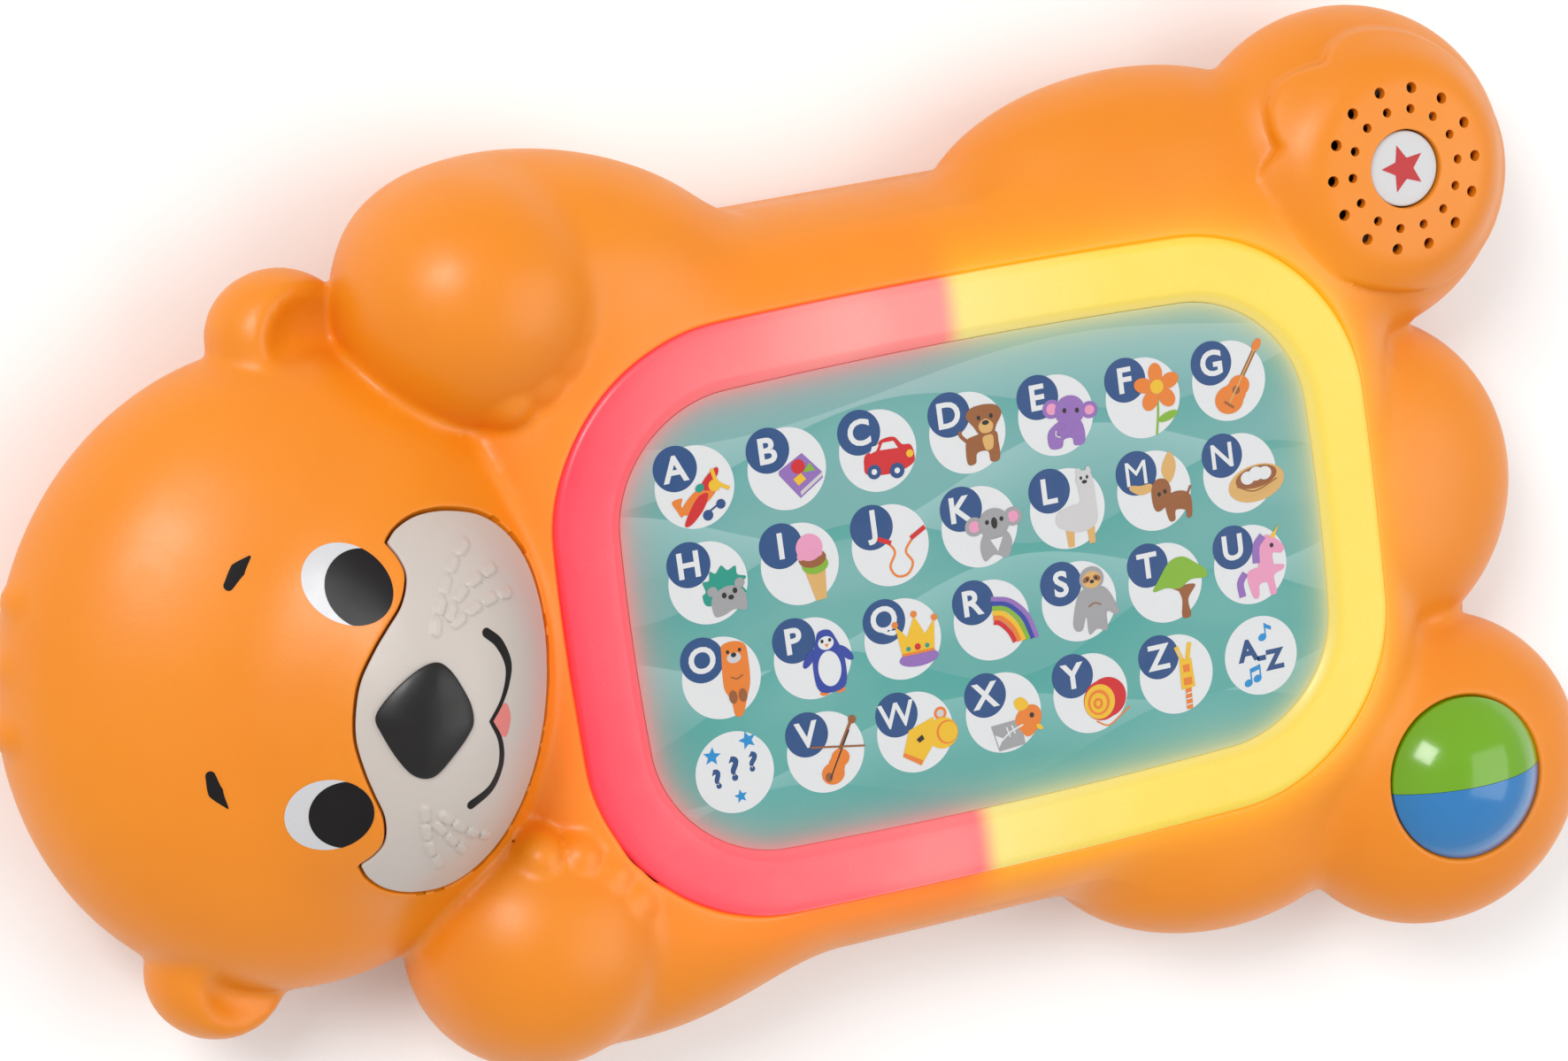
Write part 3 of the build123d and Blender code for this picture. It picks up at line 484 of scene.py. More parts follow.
# ------------------------------------------------------------ plan outlines
def curve_through(points, closed=False, steps=8):
    """A smooth curve through plan points (Catmull-Rom)."""
    points = np.array(points, float)
    count = len(points)
    if closed:
        padded = np.concatenate([points[-1:], points, points[:2]])
        spans = count
    else:
        padded = np.concatenate([2 * points[:1] - points[1:2], points, 2 * points[-1:] - points[-2:-1]])
        spans = count - 1
    curve = []
    for i in range(spans):
        a, b, c, d = padded[i:i + 4]
        for t in np.arange(steps) / steps:
            curve.append(0.5 * (2 * b + (c - a) * t + (2 * a - 5 * b + 4 * c - d) * t ** 2
                                + (3 * b - 3 * c + d - a) * t ** 3))
    if not closed:
        curve.append(points[-1])
    return np.array(curve)


def line_distance(plan, line, closed=False):
    """Distance from plan points to a polyline, and the share along it."""
    ends = np.roll(line, -1, 0) if closed else line[1:]
    starts = line if closed else line[:-1]
    best = np.full(plan.shape[:-1], 1e9)
    share = np.zeros(plan.shape[:-1])
    for i, (a, b) in enumerate(zip(starts, ends)):
        along = b - a
        t = np.clip(((plan - a) @ along) / max(along @ along, 1e-9), 0, 1)
        gap = np.linalg.norm(plan - a - t[..., None] * along, axis=-1)
        nearer = gap < best
        best = np.where(nearer, gap, best)
        share = np.where(nearer, (i + t) / len(starts), share)
    return best, share


def inside_loop(plan, loop):
    """Whether plan points lie inside a closed polyline."""
    x, y = plan[..., 0], plan[..., 1]
    inside = np.zeros(x.shape, bool)
    for (x1, y1), (x2, y2) in zip(loop, np.roll(loop, -1, 0)):
        if y1 == y2:
            continue
        crosses = (y1 > y) != (y2 > y)
        inside ^= crosses & (x < (x2 - x1) * (y - y1) / (y2 - y1) + x1)
    return inside


def loop_distance(plan, loop):
    """Signed plan distance to a closed polyline; negative inside."""
    gap, _ = line_distance(plan, loop, closed=True)
    return np.where(inside_loop(plan, loop), -gap, gap)


SOLE_LOOP = curve_through(SOLE_OUTLINE, closed=True, steps=4)


def plan_of(points):
    """Plan coordinates of points on the face: (along, rise)."""
    along, across = head_frame(points)
    return np.stack([along, -across], -1)


# Half of the muzzle plate's outline: bridge to cusp, and cusp to chin.
FACE_LINE = -FACE_SHIFT
MUZZLE_BROW = [(-2.7, 0), (-3.3, 6), (-5.6, 12), (-8, 16.5), (-10.6, 21), (-11.8, 26), (-10.7, 29.3), (-8.5, 32)]
MUZZLE_CHEEK = [(-8.5, 32), (-11, 35), (-15.5, 37.5), (-22, 38.5), (-30, 37.5), (-37, 33.5), (-42.5, 26.5), (-46, 15)]


def muzzle_loop():
    """The muzzle plate's whole outline, from its two halves."""
    brow = [(a, -r) for a, r in MUZZLE_BROW[:0:-1]] + MUZZLE_BROW
    cheek = MUZZLE_CHEEK + [(-47, 0)] + [(a, -r) for a, r in MUZZLE_CHEEK[::-1]]
    loop = np.concatenate([curve_through(brow)[:-1], curve_through(cheek)[:-1]])
    return loop + np.array([0, FACE_LINE])


MUZZLE = muzzle_loop()


def muzzle_edge(points):
    """Plan distance outside the muzzle plate's outline."""
    return loop_distance(plan_of(points), MUZZLE)


# ------------------------------------------------------------ pieces
def vertex_normals(verts, tris):
    """Unit normals at the vertices, weighted by area."""
    a, b, c = (verts[tris[:, i]] for i in range(3))
    face = np.cross(b - a, c - a)
    normal = np.zeros_like(verts)
    for i in range(3):
        np.add.at(normal, tris[:, i], face)
    return normal / np.maximum(np.linalg.norm(normal, axis=1), 1e-12)[:, None]


def thicken(verts, tris, depth):
    """Give an open surface a thickness below its face."""
    count = len(verts)
    inner = verts - vertex_normals(verts, tris) * depth
    border = np.array(open_edges(tris))
    a, b = border[:, 0], border[:, 1]
    rim = np.concatenate([np.stack([b, a, a + count], 1), np.stack([b, a + count, b + count], 1)])
    return np.concatenate([verts, inner]), np.concatenate([tris, tris[:, ::-1] + count, rim])


def make_piece(name, verts, faces, material, body="body", sharp=40):
    """A mesh piece from millimetre points."""
    mesh = bpy.data.meshes.new(name)
    mesh.from_pydata([tuple(v) for v in np.asarray(verts) * MM], [], [tuple(int(i) for i in f) for f in faces])
    mesh.validate()
    mesh.polygons.foreach_set("use_smooth", [True] * len(mesh.polygons))
    mesh.set_sharp_from_angle(angle=math.radians(sharp))
    mesh.materials.append(material)
    piece = bpy.data.objects.new(name, mesh)
    bpy.context.scene.collection.objects.link(piece)
    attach(piece, body)
    return piece


def set_attribute(piece, name, values):
    """A value per vertex, for the material to read."""
    layer = piece.data.attributes.new(name, "FLOAT", "POINT")
    layer.data.foreach_set("value", np.asarray(values, np.float32))


def drape(field, centre, half, step, top=82.0):
    """The upper surface of a field over a rectangle of the face's plan."""
    along = np.arange(-half[0], half[0] + step, step) + centre[0]
    rise = np.arange(-half[1], half[1] + step, step) + centre[1]
    plan = np.stack(np.meshgrid(along, rise, indexing="ij"), -1)
    flat = plan.reshape(-1, 2)
    x, y, _ = head_point(flat[:, 0], -flat[:, 1])
    points = np.stack([x, y, np.full(len(flat), top)], 1)
    for _ in range(70):
        points[:, 2] -= np.maximum(field(points), -2) * 0.85
    rows, columns = plan.shape[:2]
    corner = (np.arange(rows - 1)[:, None] * columns + np.arange(columns - 1)).reshape(-1)
    quads = np.stack([corner, corner + 1, corner + columns + 1, corner + columns], 1)
    tris = halves(quads)
    a, b, c = (points[tris[:3, i]] for i in range(3))
    if np.cross(b - a, c - a)[0, 2] < 0:
        tris = tris[:, ::-1]
    return points, tris


def film(name, field, centre, half, shape, material, lift, step=0.5):
    """A printed mark lying on the face, cut to a plan shape (negative inside)."""
    def edge(points):
        return -shape(plan_of(points))
    verts, tris = drape(field, centre, half, step)
    verts, tris = clip(field, edge, verts, tris, snap=0.3 * step)
    verts = verts + vertex_normals(verts, tris) * lift
    verts, tris = thicken(verts, tris, lift + 0.1)
    return make_piece(name, verts, tris, material)


# ------------------------------------------------------------ materials
def colour(hex_code):
    """A colour written as on screen, turned to linear light."""
    parts = [int(hex_code[i:i + 2], 16) / 255 for i in (1, 3, 5)]
    linear = [p / 12.92 if p <= 0.04045 else ((p + 0.055) / 1.055) ** SCREEN_GAMMA for p in parts]
    return (*linear, 1.0)


def seen(hex_code, light=1.2):
    """Surface colour that looks like the given one under the studio's light."""
    return tuple(max(c - 0.045, 0.45 * c) / light for c in colour(hex_code)[:3]) + (1,)


class Nodes:
    """A short way to write a material's nodes."""

    def __init__(self, name):
        self.material = bpy.data.materials.new(name)
        self.material.use_nodes = True
        self.tree = self.material.node_tree
        self.shader = self.tree.nodes["Principled BSDF"]
        self.place = self.tree.nodes.new("ShaderNodeTexCoord").outputs["Object"]

    def link(self, source, socket):
        if isinstance(source, bpy.types.NodeSocket):
            self.tree.links.new(source, socket)
        else:
            socket.default_value = source

    def math(self, operation, a, b=0.0, c=0.0, clamp=False):
        node = self.tree.nodes.new("ShaderNodeMath")
        node.operation = operation
        node.use_clamp = clamp
        for value, socket in zip((a, b, c), node.inputs):
            self.link(value, socket)
        return node.outputs[0]

    def span(self, value, low, high, to_low=0.0, to_high=1.0, smooth=True):
        node = self.tree.nodes.new("ShaderNodeMapRange")
        node.interpolation_type = "SMOOTHSTEP" if smooth else "LINEAR"
        for number, socket in zip((value, low, high, to_low, to_high), node.inputs):
            self.link(number, socket)
        return node.outputs[0]

    def mix(self, factor, a, b, blend="MIX"):
        node = self.tree.nodes.new("ShaderNodeMix")
        node.data_type = "RGBA"
        node.blend_type = blend
        self.link(factor, node.inputs[0])
        self.link(a, node.inputs[6])
        self.link(b, node.inputs[7])
        return node.outputs[2]

    def noise(self, size_mm, detail=2.0, stretch=None):
        """Noise of about the given grain size."""
        vector = self.place
        if stretch:
            mapping = self.tree.nodes.new("ShaderNodeMapping")
            mapping.inputs["Scale"].default_value = stretch
            self.link(vector, mapping.inputs["Vector"])
            vector = mapping.outputs[0]
        node = self.tree.nodes.new("ShaderNodeTexNoise")
        node.inputs["Scale"].default_value = 1000.0 / size_mm
        node.inputs["Detail"].default_value = detail
        self.link(vector, node.inputs["Vector"])
        return node.outputs[0]

    def xyz(self):
        """Object coordinates in millimetres."""
        node = self.tree.nodes.new("ShaderNodeSeparateXYZ")
        self.link(self.place, node.inputs[0])
        return [self.math("MULTIPLY", socket, 1000.0) for socket in node.outputs]

    def attribute(self, name):
        node = self.tree.nodes.new("ShaderNodeAttribute")
        node.attribute_name = name
        return node.outputs["Fac"]

    def side(self):
        """Distance from the line where the ring turns from red to yellow."""
        x, y, _ = self.xyz()
        return x, y, self.math("ADD", x, self.span(y, -50, 50, 7.0, 0.0))

    def bump(self, height, depth_mm):
        node = self.tree.nodes.new("ShaderNodeBump")
        node.inputs["Strength"].default_value = 1.0
        node.inputs["Distance"].default_value = depth_mm * MM
        self.link(height, node.inputs["Height"])
        self.link(node.outputs[0], self.shader.inputs["Normal"])

    def set(self, **values):
        for name, value in values.items():
            self.link(value, self.shader.inputs[name.replace("_", " ")])
        return self.material


def plastic(name, hex_code, roughness=0.4, grain=0.5, depth=0.012, drift=0.05, coat=0.0, subsurface=0.0):
    """Moulded plastic: fine grain, slight drift in colour and gloss."""
    nodes = Nodes(name)
    base = seen(hex_code)
    dark = tuple(c * (1 - 2 * drift) for c in base[:3]) + (1,)
    cloud = nodes.noise(28, 3)
    nodes.set(Base_Color=nodes.mix(cloud, dark, base))
    fine = nodes.noise(grain, 2)
    nodes.set(Roughness=nodes.span(nodes.noise(9, 3), 0.3, 0.7, roughness - 0.04, roughness + 0.05))
    nodes.bump(fine, depth)
    nodes.shader.inputs["Coat Weight"].default_value = coat
    nodes.shader.inputs["Coat Roughness"].default_value = 0.12
    if subsurface:
        nodes.shader.inputs["Subsurface Weight"].default_value = subsurface
        nodes.shader.inputs["Subsurface Radius"].default_value = (1.0, 0.45, 0.2)
        nodes.shader.inputs["Subsurface Scale"].default_value = 0.0025
    return nodes.material


def metal(name, hex_code, roughness=0.3, grain=0.4):
    """Plated or brushed metal with fine scratches."""
    nodes = Nodes(name)
    base = colour(hex_code)
    scratch = nodes.noise(grain, 4, (1, 9, 1))
    nodes.set(Base_Color=nodes.mix(scratch, tuple(c * 0.8 for c in base[:3]) + (1,), base))
    nodes.set(Roughness=nodes.span(nodes.noise(6, 3), 0.3, 0.7, roughness - 0.05, roughness + 0.1))
    nodes.shader.inputs["Metallic"].default_value = 1.0
    nodes.bump(scratch, 0.006)
    return nodes.material


def ink(name, hex_code, roughness=0.32):
    """Printed ink under a clear coat, with a faint dot screen."""
    nodes = Nodes(name)
    base = seen(hex_code)
    screen = nodes.noise(0.35, 1)
    nodes.set(Base_Color=nodes.mix(screen, tuple(c * 0.93 for c in base[:3]) + (1,), base))
    nodes.set(Roughness=nodes.span(nodes.noise(5, 2), 0.3, 0.7, roughness - 0.04, roughness + 0.05))
    nodes.bump(nodes.noise(0.6, 2), 0.004)
    nodes.shader.inputs["Specular IOR Level"].default_value = 0.35
    return nodes.material


def glowing(name, red, yellow):
    """Frosted light ring: lit red towards the head and yellow towards the feet."""
    nodes = Nodes(name)
    _, y, side = nodes.side()
    turn = nodes.span(side, -3.5, 2.5)
    soft = nodes.math("MULTIPLY", nodes.span(side, -88, -4), nodes.span(y, -40, 40, 0.5, 1.0))
    pale = nodes.mix(soft, seen(red, 1.45), seen("#FFA9A1", 1.5))
    warm = nodes.mix(nodes.span(side, -6, 40), seen("#F5E994", 1.5), seen(yellow, 1.5))
    cloud = nodes.span(nodes.noise(30, 0), 0.35, 0.65)
    tone = nodes.mix(turn, pale, warm)
    deep_tone = nodes.mix(turn, seen("#FF5263", 1.45), seen("#F5D055", 1.5))
    tone = nodes.mix(nodes.math("MULTIPLY", cloud, 0.3), tone, deep_tone)
    depth = nodes.attribute("edge")
    pale_edge = nodes.mix(turn, seen("#FF8F90", 1.6), seen("#F8EDB0", 1.6))
    lit = nodes.mix(nodes.math("MULTIPLY", depth, 0.55), tone, pale_edge)
    nodes.set(Base_Color=lit, Emission_Color=lit)
    nodes.shader.inputs["Emission Strength"].default_value = 0.5
    nodes.set(Roughness=nodes.span(nodes.noise(5, 2), 0.3, 0.7, 0.26, 0.34))
    nodes.bump(nodes.noise(0.7, 2), 0.003)
    nodes.shader.inputs["Subsurface Weight"].default_value = 0.1
    nodes.shader.inputs["Subsurface Scale"].default_value = 0.004
    return nodes.material


def shell_material(name):
    """Satin orange shell, with the ring's light painted on beside the ring as a glow."""
    nodes = Nodes(name)
    base, dark = colour("#E98A0F"), colour("#E27F0B")
    orange = nodes.mix(nodes.noise(35, 3), dark, base)
    _, _, side = nodes.side()
    # painted light: the ring's red-to-yellow glow, laid on the shell as emission beside the ring
    glow = nodes.mix(nodes.span(side, -6, 6), colour("#FF3B2E"), colour("#FFC21F"))
    near = nodes.attribute("glow")
    nodes.set(Base_Color=orange, Emission_Color=glow)
    nodes.set(Emission_Strength=nodes.math("MULTIPLY", near, 0.4))
    speckle = nodes.math("ADD", nodes.noise(0.55, 1), nodes.math("MULTIPLY", nodes.noise(1.3, 1), 0.5))
    nodes.set(Roughness=nodes.span(nodes.noise(12, 3), 0.3, 0.7, 0.36, 0.44))
    nodes.bump(speckle, 0.016)
    nodes.shader.inputs["Subsurface Weight"].default_value = 0.12
    nodes.shader.inputs["Subsurface Radius"].default_value = (1.0, 0.35, 0.1)
    nodes.shader.inputs["Subsurface Scale"].default_value = 0.003
    return nodes.material


def panel_material(name):
    """Printed sea: bands of waves in teal, with the ring's light painted along its edge as a glow."""
    nodes = Nodes(name)
    x, y, side = nodes.side()
    tone = nodes.mix(nodes.span(y, -45, 45), seen("#66ADA6"), seen("#82B4B2"))
    for height, swing, length, phase, tint, strength in WAVES:
        angle = nodes.math("MULTIPLY_ADD", x, 2 * math.pi / length, phase)
        crest = nodes.math("MULTIPLY_ADD", nodes.math("SINE", angle), swing, height)
        below = nodes.math("SUBTRACT", crest, y)
        edge = nodes.span(below, -0.15, 0.15)
        fade = nodes.span(below, 0, 13, strength, 0.0, smooth=False)
        tone = nodes.mix(nodes.math("MULTIPLY", edge, fade), tone, seen(tint))
    # painted light: the ring's glow on the panel's edge, mixed into the colour and laid on as emission
    glow = nodes.mix(nodes.span(side, -14, 14), seen("#F58E8C", 1.45), seen("#E6DE92", 1.5))
    near = nodes.attribute("glow")
    halo = nodes.mix(nodes.math("MULTIPLY", near, 0.1), glow, (0.8, 0.75, 0.7, 1))
    nodes.set(Base_Color=nodes.mix(near, tone, halo), Emission_Color=halo)
    nodes.set(Emission_Strength=nodes.math("MULTIPLY", near, 0.15))
    nodes.shader.inputs["Specular IOR Level"].default_value = 0.35
    nodes.set(Roughness=nodes.span(nodes.noise(8, 2), 0.3, 0.7, 0.2, 0.28))
    nodes.bump(nodes.noise(0.9, 2), 0.003)
    return nodes.material


# Waves: height, swing, length, phase, tint, strength.
WAVES = [
    (42.0, 4.0, 150.0, 0.6, "#A9CDCB", 0.55),
    (34.0, 6.0, 120.0, 2.4, "#5FA9A3", 0.75),
    (20.0, 7.0, 105.0, 0.2, "#A4CBC9", 0.65),
    (10.0, 6.0, 92.0, 3.6, "#57A69F", 0.75),
    (-4.0, 6.5, 110.0, 1.2, "#9CC9C6", 0.65),
    (-16.0, 7.0, 88.0, 4.4, "#55A7A0", 0.8),
    (-30.0, 5.5, 120.0, 2.2, "#93C4C1", 0.6),
    (-40.0, 5.0, 96.0, 5.0, "#5BAAA4", 0.7),
]

# ------------------------------------------------------------ shells
orange = shell_material("orange_shell")

def above_parting(points):
    """Height above the plane where the shells part."""
    return points[..., 2] - PARTING - PARTING_GAP


def round_edge(centre, radius):
    """Plan distance outside a circle."""
    def edge(points):
        return np.hypot(points[..., 0] - centre[0], points[..., 1] - centre[1]) - radius
    return edge


def sound_holes():
    """Centres and radii of the speaker's holes."""
    for ring, hole in SOUND_RINGS:
        for step in range(SOUND_COUNT):
            turn = 2 * math.pi * step / SOUND_COUNT
            yield SPEAKER_AT[0] + ring * math.cos(turn), SPEAKER_AT[1] + ring * math.sin(turn), hole


HOLES = np.array(list(sound_holes()))


def hole_edge(points):
    """Plan distance outside the speaker's holes."""
    x, y = points[..., 0, None] - HOLES[:, 0], points[..., 1, None] - HOLES[:, 1]
    return (np.hypot(x, y) - HOLES[:, 2]).min(-1)


def near_crease(points):
    """Where two parts of the body meet, around the toes and at the sole's edge."""
    parts = [ellipsoid(points, centre, radii, math.radians(turn)) for centre, radii, turn, _ in LIMBS]
    parts += [torso(points), head(points)]
    parts += [ellipsoid(points, head_point(*ear), EAR_RADII, HEAD_TURN) for ear in EARS]
    second = np.sort(np.stack(parts), axis=0)[1]
    by_toes = where_near(points, PAW_BOX, toes) < 2.5
    rim = where_near(points, SOLE_BOX, lambda near: loop_distance(near[..., :2], SOLE_LOOP))
    rim[points[:, 2] <= 34] = FAR
    return (points[:, 2] > PARTING + 2) & ((second < 1.6) | by_toes | (np.abs(rim) < 2))


def near_speaker(points):
    """Whether points lie on the flat over the speaker."""
    return (round_edge(SPEAKER_AT, 21)(points) < 0) & (points[:, 2] > 44)


def opening(field, verts, tris, edge, radius, wall, floor=None, snap=0.35):
    """Cut an opening in an upper surface, with an eased edge and a wall."""
    def outside(points):
        return edge(points) - radius
    verts, tris = clip(field, outside, verts, tris, snap)
    border = [(a, b) for a, b in open_edges(tris)
              if abs(outside(verts[a])) < 0.05 and abs(outside(verts[b])) < 0.05]
    return add_rings(verts, tris, border, rolled_rim(field, outside, radius, wall, floor))


def build_front():
    """The upper shell's skin, with its openings cut and their edges eased."""
    verts, tris = surface_net(body, *NET_BOX, NET_STEP)
    verts, tris = refine(body, verts, tris, near_crease)
    verts, tris = refine(body, verts, tris, near_speaker)
    verts, tris = refine(body, verts, tris, near_speaker)
    verts, tris = clip(body, above_parting, verts, tris)
    verts, tris = clip(body, hole_edge, verts, tris, snap=0.12)
    verts, tris = opening(body, verts, tris, round_edge(SPEAKER_AT, BADGE_HOLE), 0.35, 0, BADGE_FLOOR, snap=0.12)
    verts, tris = opening(body, verts, tris, round_edge(DOME_AT, DOME_HOLE), 0.9, 5.0)
    verts, tris = opening(body, verts, tris, ring_edge_at, 1.1, 4.0)
    verts, tris = opening(body, verts, tris, muzzle_gap, 0.5, 2.5)
    verts, tris = thicken(verts, tris, WALL)
    piece = make_piece("front_shell_skin", verts, tris, orange)
    # painted light: how strongly the ring's glow is painted on the shell, fading away from the ring
    beside = ring_edge(verts[:, 0], verts[:, 1])
    set_attribute(piece, "glow", np.exp(-np.maximum(beside, 0) / 5.0) * (verts[:, 2] > 36))
    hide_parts("front_shell")
    return piece


def ring_edge_at(points):
    """Plan distance outside the opening for the light ring."""
    return ring_edge(points[..., 0], points[..., 1]) - SEAM_GAP


def muzzle_gap(points):
    """Plan distance outside the opening for the muzzle plate."""
    return muzzle_edge(points) - SEAM_GAP


build_front()


# ------------------------------------------------------------ muzzle plate and face
# Whiskers as raised dashes: each is a curve on the face's plan.
WHISKERS = [
    [(-17.1, 14.2), (-17.8, 18.1), (-19.4, 23.1), (-21.5, 27.3), (-25.0, 31.2)],
    [(-19.8, 17.2), (-21.2, 20.0), (-24.9, 23.8), (-32.2, 27.0)],
    [(-20.8, 16.0), (-25.0, 19.0), (-30.7, 21.2), (-37.0, 21.9)],
    [(-18.0, -19.9), (-19.4, -24.9), (-22.0, -29.8), (-27.0, -35.0)],
    [(-21.0, -23.4), (-25.9, -27.3), (-32.5, -32.0)],
    [(-21.6, -21.4), (-25.8, -23.8), (-30.7, -26.0), (-38.0, -28.0)],
]
DASH_PITCH = 4.1
DASH_LENGTH = 1.9


def whisker_dashes():
    """Start and end of every raised dash."""
    dashes = []
    for whisker in WHISKERS:
        curve = curve_through(whisker, steps=12)
        run = np.concatenate([[0], np.cumsum(np.linalg.norm(np.diff(curve, axis=0), axis=1))])
        for start in np.arange(0.4, run[-1] - DASH_LENGTH, DASH_PITCH):
            ends = [np.array([np.interp(at, run, curve[:, i]) for i in (0, 1)])
                    for at in (start, start + DASH_LENGTH)]
            dashes.append(ends)
    return dashes


DASHES = whisker_dashes()


def muzzle_field(points):
    """The face's surface, with the whiskers raised on it."""
    plan = plan_of(points)
    gap = np.full(plan.shape[:-1], 9.0)
    for a, b in DASHES:
        near = np.all(np.abs(plan - (a + b) / 2) < 4, axis=-1)
        gap[near] = np.minimum(gap[near], line_distance(plan[near], np.array([a, b]))[0])
    lift = np.clip(1.15 - gap, 0, 0.5) / 0.5
    return head(points) - 0.6 * lift * lift * (3 - 2 * lift)


def build_muzzle():
    """The grey plate of the muzzle, with its whiskers."""
    def inside(points):
        return -muzzle_edge(points) - SEAM_GAP
    verts, tris = drape(muzzle_field, (-25, FACE_LINE), (25, 42), 0.4)
    verts, tris = opening(muzzle_field, verts, tris, inside, 0.5, 2.0, snap=0.12)
    verts, tris = thicken(verts, tris, 2.0)
    plate = plastic("muzzle_plastic", "#DAD0C8", 0.42, 0.6, 0.012, 0.03, subsurface=0.08)
    piece = make_piece("muzzle_face", verts, tris, plate, sharp=50)
    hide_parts("muzzle_plate")


# The nose's outline on the face's plan.
NOSE = curve_through([
    (-6.1, -2.4), (-7.6, 1.2), (-10.8, 5.2), (-14.3, 8.2), (-17.5, 9.3), (-20.2, 7.8), (-22.8, 4.6), (-25.0, 1.0),
    (-25.8, -2.4), (-24.8, -5.2), (-22.2, -9.2), (-19.4, -12.9), (-16.9, -13.9), (-13.9, -13.0), (-10.6, -9.8),
    (-7.6, -5.6),
], closed=True, steps=5)


NOSE_BOX = ((-175, -40, 40), (-100, 50, 95))
NOSE_RISE = 0.95
NOSE_ROUND = 7.5


def nose_field(points):
    """The face's surface, with the nose swelling out of it."""
    gap = np.maximum(-where_near(points, NOSE_BOX, lambda near: loop_distance(plan_of(near), NOSE)), 0)
    share = np.clip(gap / NOSE_ROUND, 0, 1)
    return head(points) - 0.35 - NOSE_RISE * np.sqrt(1 - (1 - share) ** 2)


def build_nose():
    """The black nose, swelling from the plate."""
    def inside(points):
        return -loop_distance(plan_of(points), NOSE)
    verts, tris = drape(nose_field, (-16, -2.3), (11.5, 13), 0.45)
    verts, tris = opening(nose_field, verts, tris, inside, 0.25, 0.3, snap=0.12)
    verts, tris = thicken(verts, tris, 1.2)
    nose = Nodes("nose_black")
    nose.set(Base_Color=nose.mix(nose.noise(9, 2), colour("#121010"), colour("#1B1817")))
    nose.shader.inputs["Specular IOR Level"].default_value = 0.4
    nose.set(Roughness=nose.span(nose.noise(4, 2), 0.3, 0.7, 0.3, 0.38))
    nose.bump(nose.noise(0.7, 2), 0.006)
    make_piece("nose", verts, tris, nose.material)


def ellipse(centre, radii, tilt=0.0):
    """Plan distance to an ellipse on the face."""
    def shape(plan):
        cosine, sine = math.cos(tilt), math.sin(tilt)
        u, v = plan[..., 0] - centre[0], plan[..., 1] - centre[1]
        u, v = u * cosine + v * sine, -u * sine + v * cosine
        return (np.hypot(u / radii[0], v / radii[1]) - 1) * min(radii)
    return shape


def stroke(points, widths, steps=6):
    """Plan distance to a brush stroke whose width changes along it."""
    curve = curve_through(points, steps=steps)
    def shape(plan):
        gap, share = line_distance(plan, curve)
        return gap - np.interp(share, np.linspace(0, 1, len(widths)), widths) / 2
    return shape


def both(a, b):
    """Where two plan shapes overlap."""
    return lambda plan: np.maximum(a(plan), b(plan))


def build_face():
    """Eyes, brows, mouth and tongue, printed on the face."""
    white = ink("eye_white", "#E2E2E5", 0.25)
    black = Nodes("eye_black")
    black.set(Base_Color=black.mix(black.noise(9, 1), colour("#151312"), colour("#1E1B1C")))
    black.shader.inputs["Specular IOR Level"].default_value = 0.16
    black.set(Roughness=black.span(black.noise(6, 1), 0.3, 0.7, 0.3, 0.33))
    black.bump(black.noise(0.8, 2), 0.0015)
    black = black.material
    eyes = (
        ("upper", (-1.1, 22.1), (8.3, 7.4), 0.35, (-4.5, 21.5), 7.4),
        ("lower", (-1.0, -23.0), (7.9, 7.4), -0.45, (-4.5, -22.5), 7.1),
    )
    for name, centre, radii, tilt, pupil, size in eyes:
        outline = ellipse(centre, radii, tilt)
        film("eye_" + name, body, centre, (10, 10), outline, white, 0.05)
        dark = both(outline, ellipse(pupil, (size, size)))
        film("pupil_" + name, body, centre, (10, 10), dark, black, 0.12)
    brows = (
        ("upper", [(16.6, 26.0), (18.9, 23.2), (20.6, 20.0)], (0.3, 2.9, 1.9)),
        ("lower", [(21.4, -17.0), (20.0, -20.3), (17.4, -23.3)], (1.9, 2.9, 0.3)),
    )
    for name, points, widths in brows:
        film("brow_" + name, body, points[1], (6, 7), stroke(points, widths), black, 0.08, 0.3)
    mouth = [(-27.9, 14.6), (-30.8, 12.6), (-33.1, 8.8), (-33.1, 5.3), (-31.9, 1.4), (-29.7, -2.4)]
    film("mouth_upper", head, (-31, 6), (6, 11), stroke(mouth, (1.9, 2.0, 1.7, 1.2, 0.9, 0.8)), black, 0.08, 0.35)
    mouth = [(-29.7, -2.4), (-32.2, -5.9), (-33.3, -9.5), (-33.2, -12.7), (-31.7, -16.3), (-27.9, -19.3)]
    film("mouth_lower", head, (-31, -11), (6, 11), stroke(mouth, (0.8, 1.0, 1.2, 1.3, 1.6, 1.9)), black, 0.08, 0.35)
    tongue = curve_through([(-29.9, -2.5), (-32.6, 1.0), (-34.2, -0.8), (-34.5, -3.2), (-33.4, -5.8)], closed=True)
    film("tongue", head, (-32, -2.4), (5, 6), lambda plan: loop_distance(plan, tongue),
         ink("tongue_pink", "#F2908B", 0.3), 0.04, 0.35)


build_muzzle()
build_nose()
build_face()

# ------------------------------------------------------------ light ring and panel
def outline_points(edge, count):
    """Evenly spaced points on the zero line of a plan distance."""
    angles = np.linspace(0, 2 * math.pi, 1440, endpoint=False)
    low, high = np.full(len(angles), 5.0), np.full(len(angles), 200.0)
    for _ in range(40):
        middle = (low + high) / 2
        inside = edge(middle * np.cos(angles), middle * np.sin(angles)) < 0
        low, high = np.where(inside, middle, low), np.where(inside, high, middle)
    line = np.stack([low * np.cos(angles), low * np.sin(angles)], 1)
    line = np.concatenate([line, line[:1]])
    run = np.concatenate([[0], np.cumsum(np.linalg.norm(np.diff(line, axis=0), axis=1))])
    at = np.linspace(0, run[-1], count, endpoint=False)
    return np.stack([np.interp(at, run, line[:, i]) for i in (0, 1)], 1)


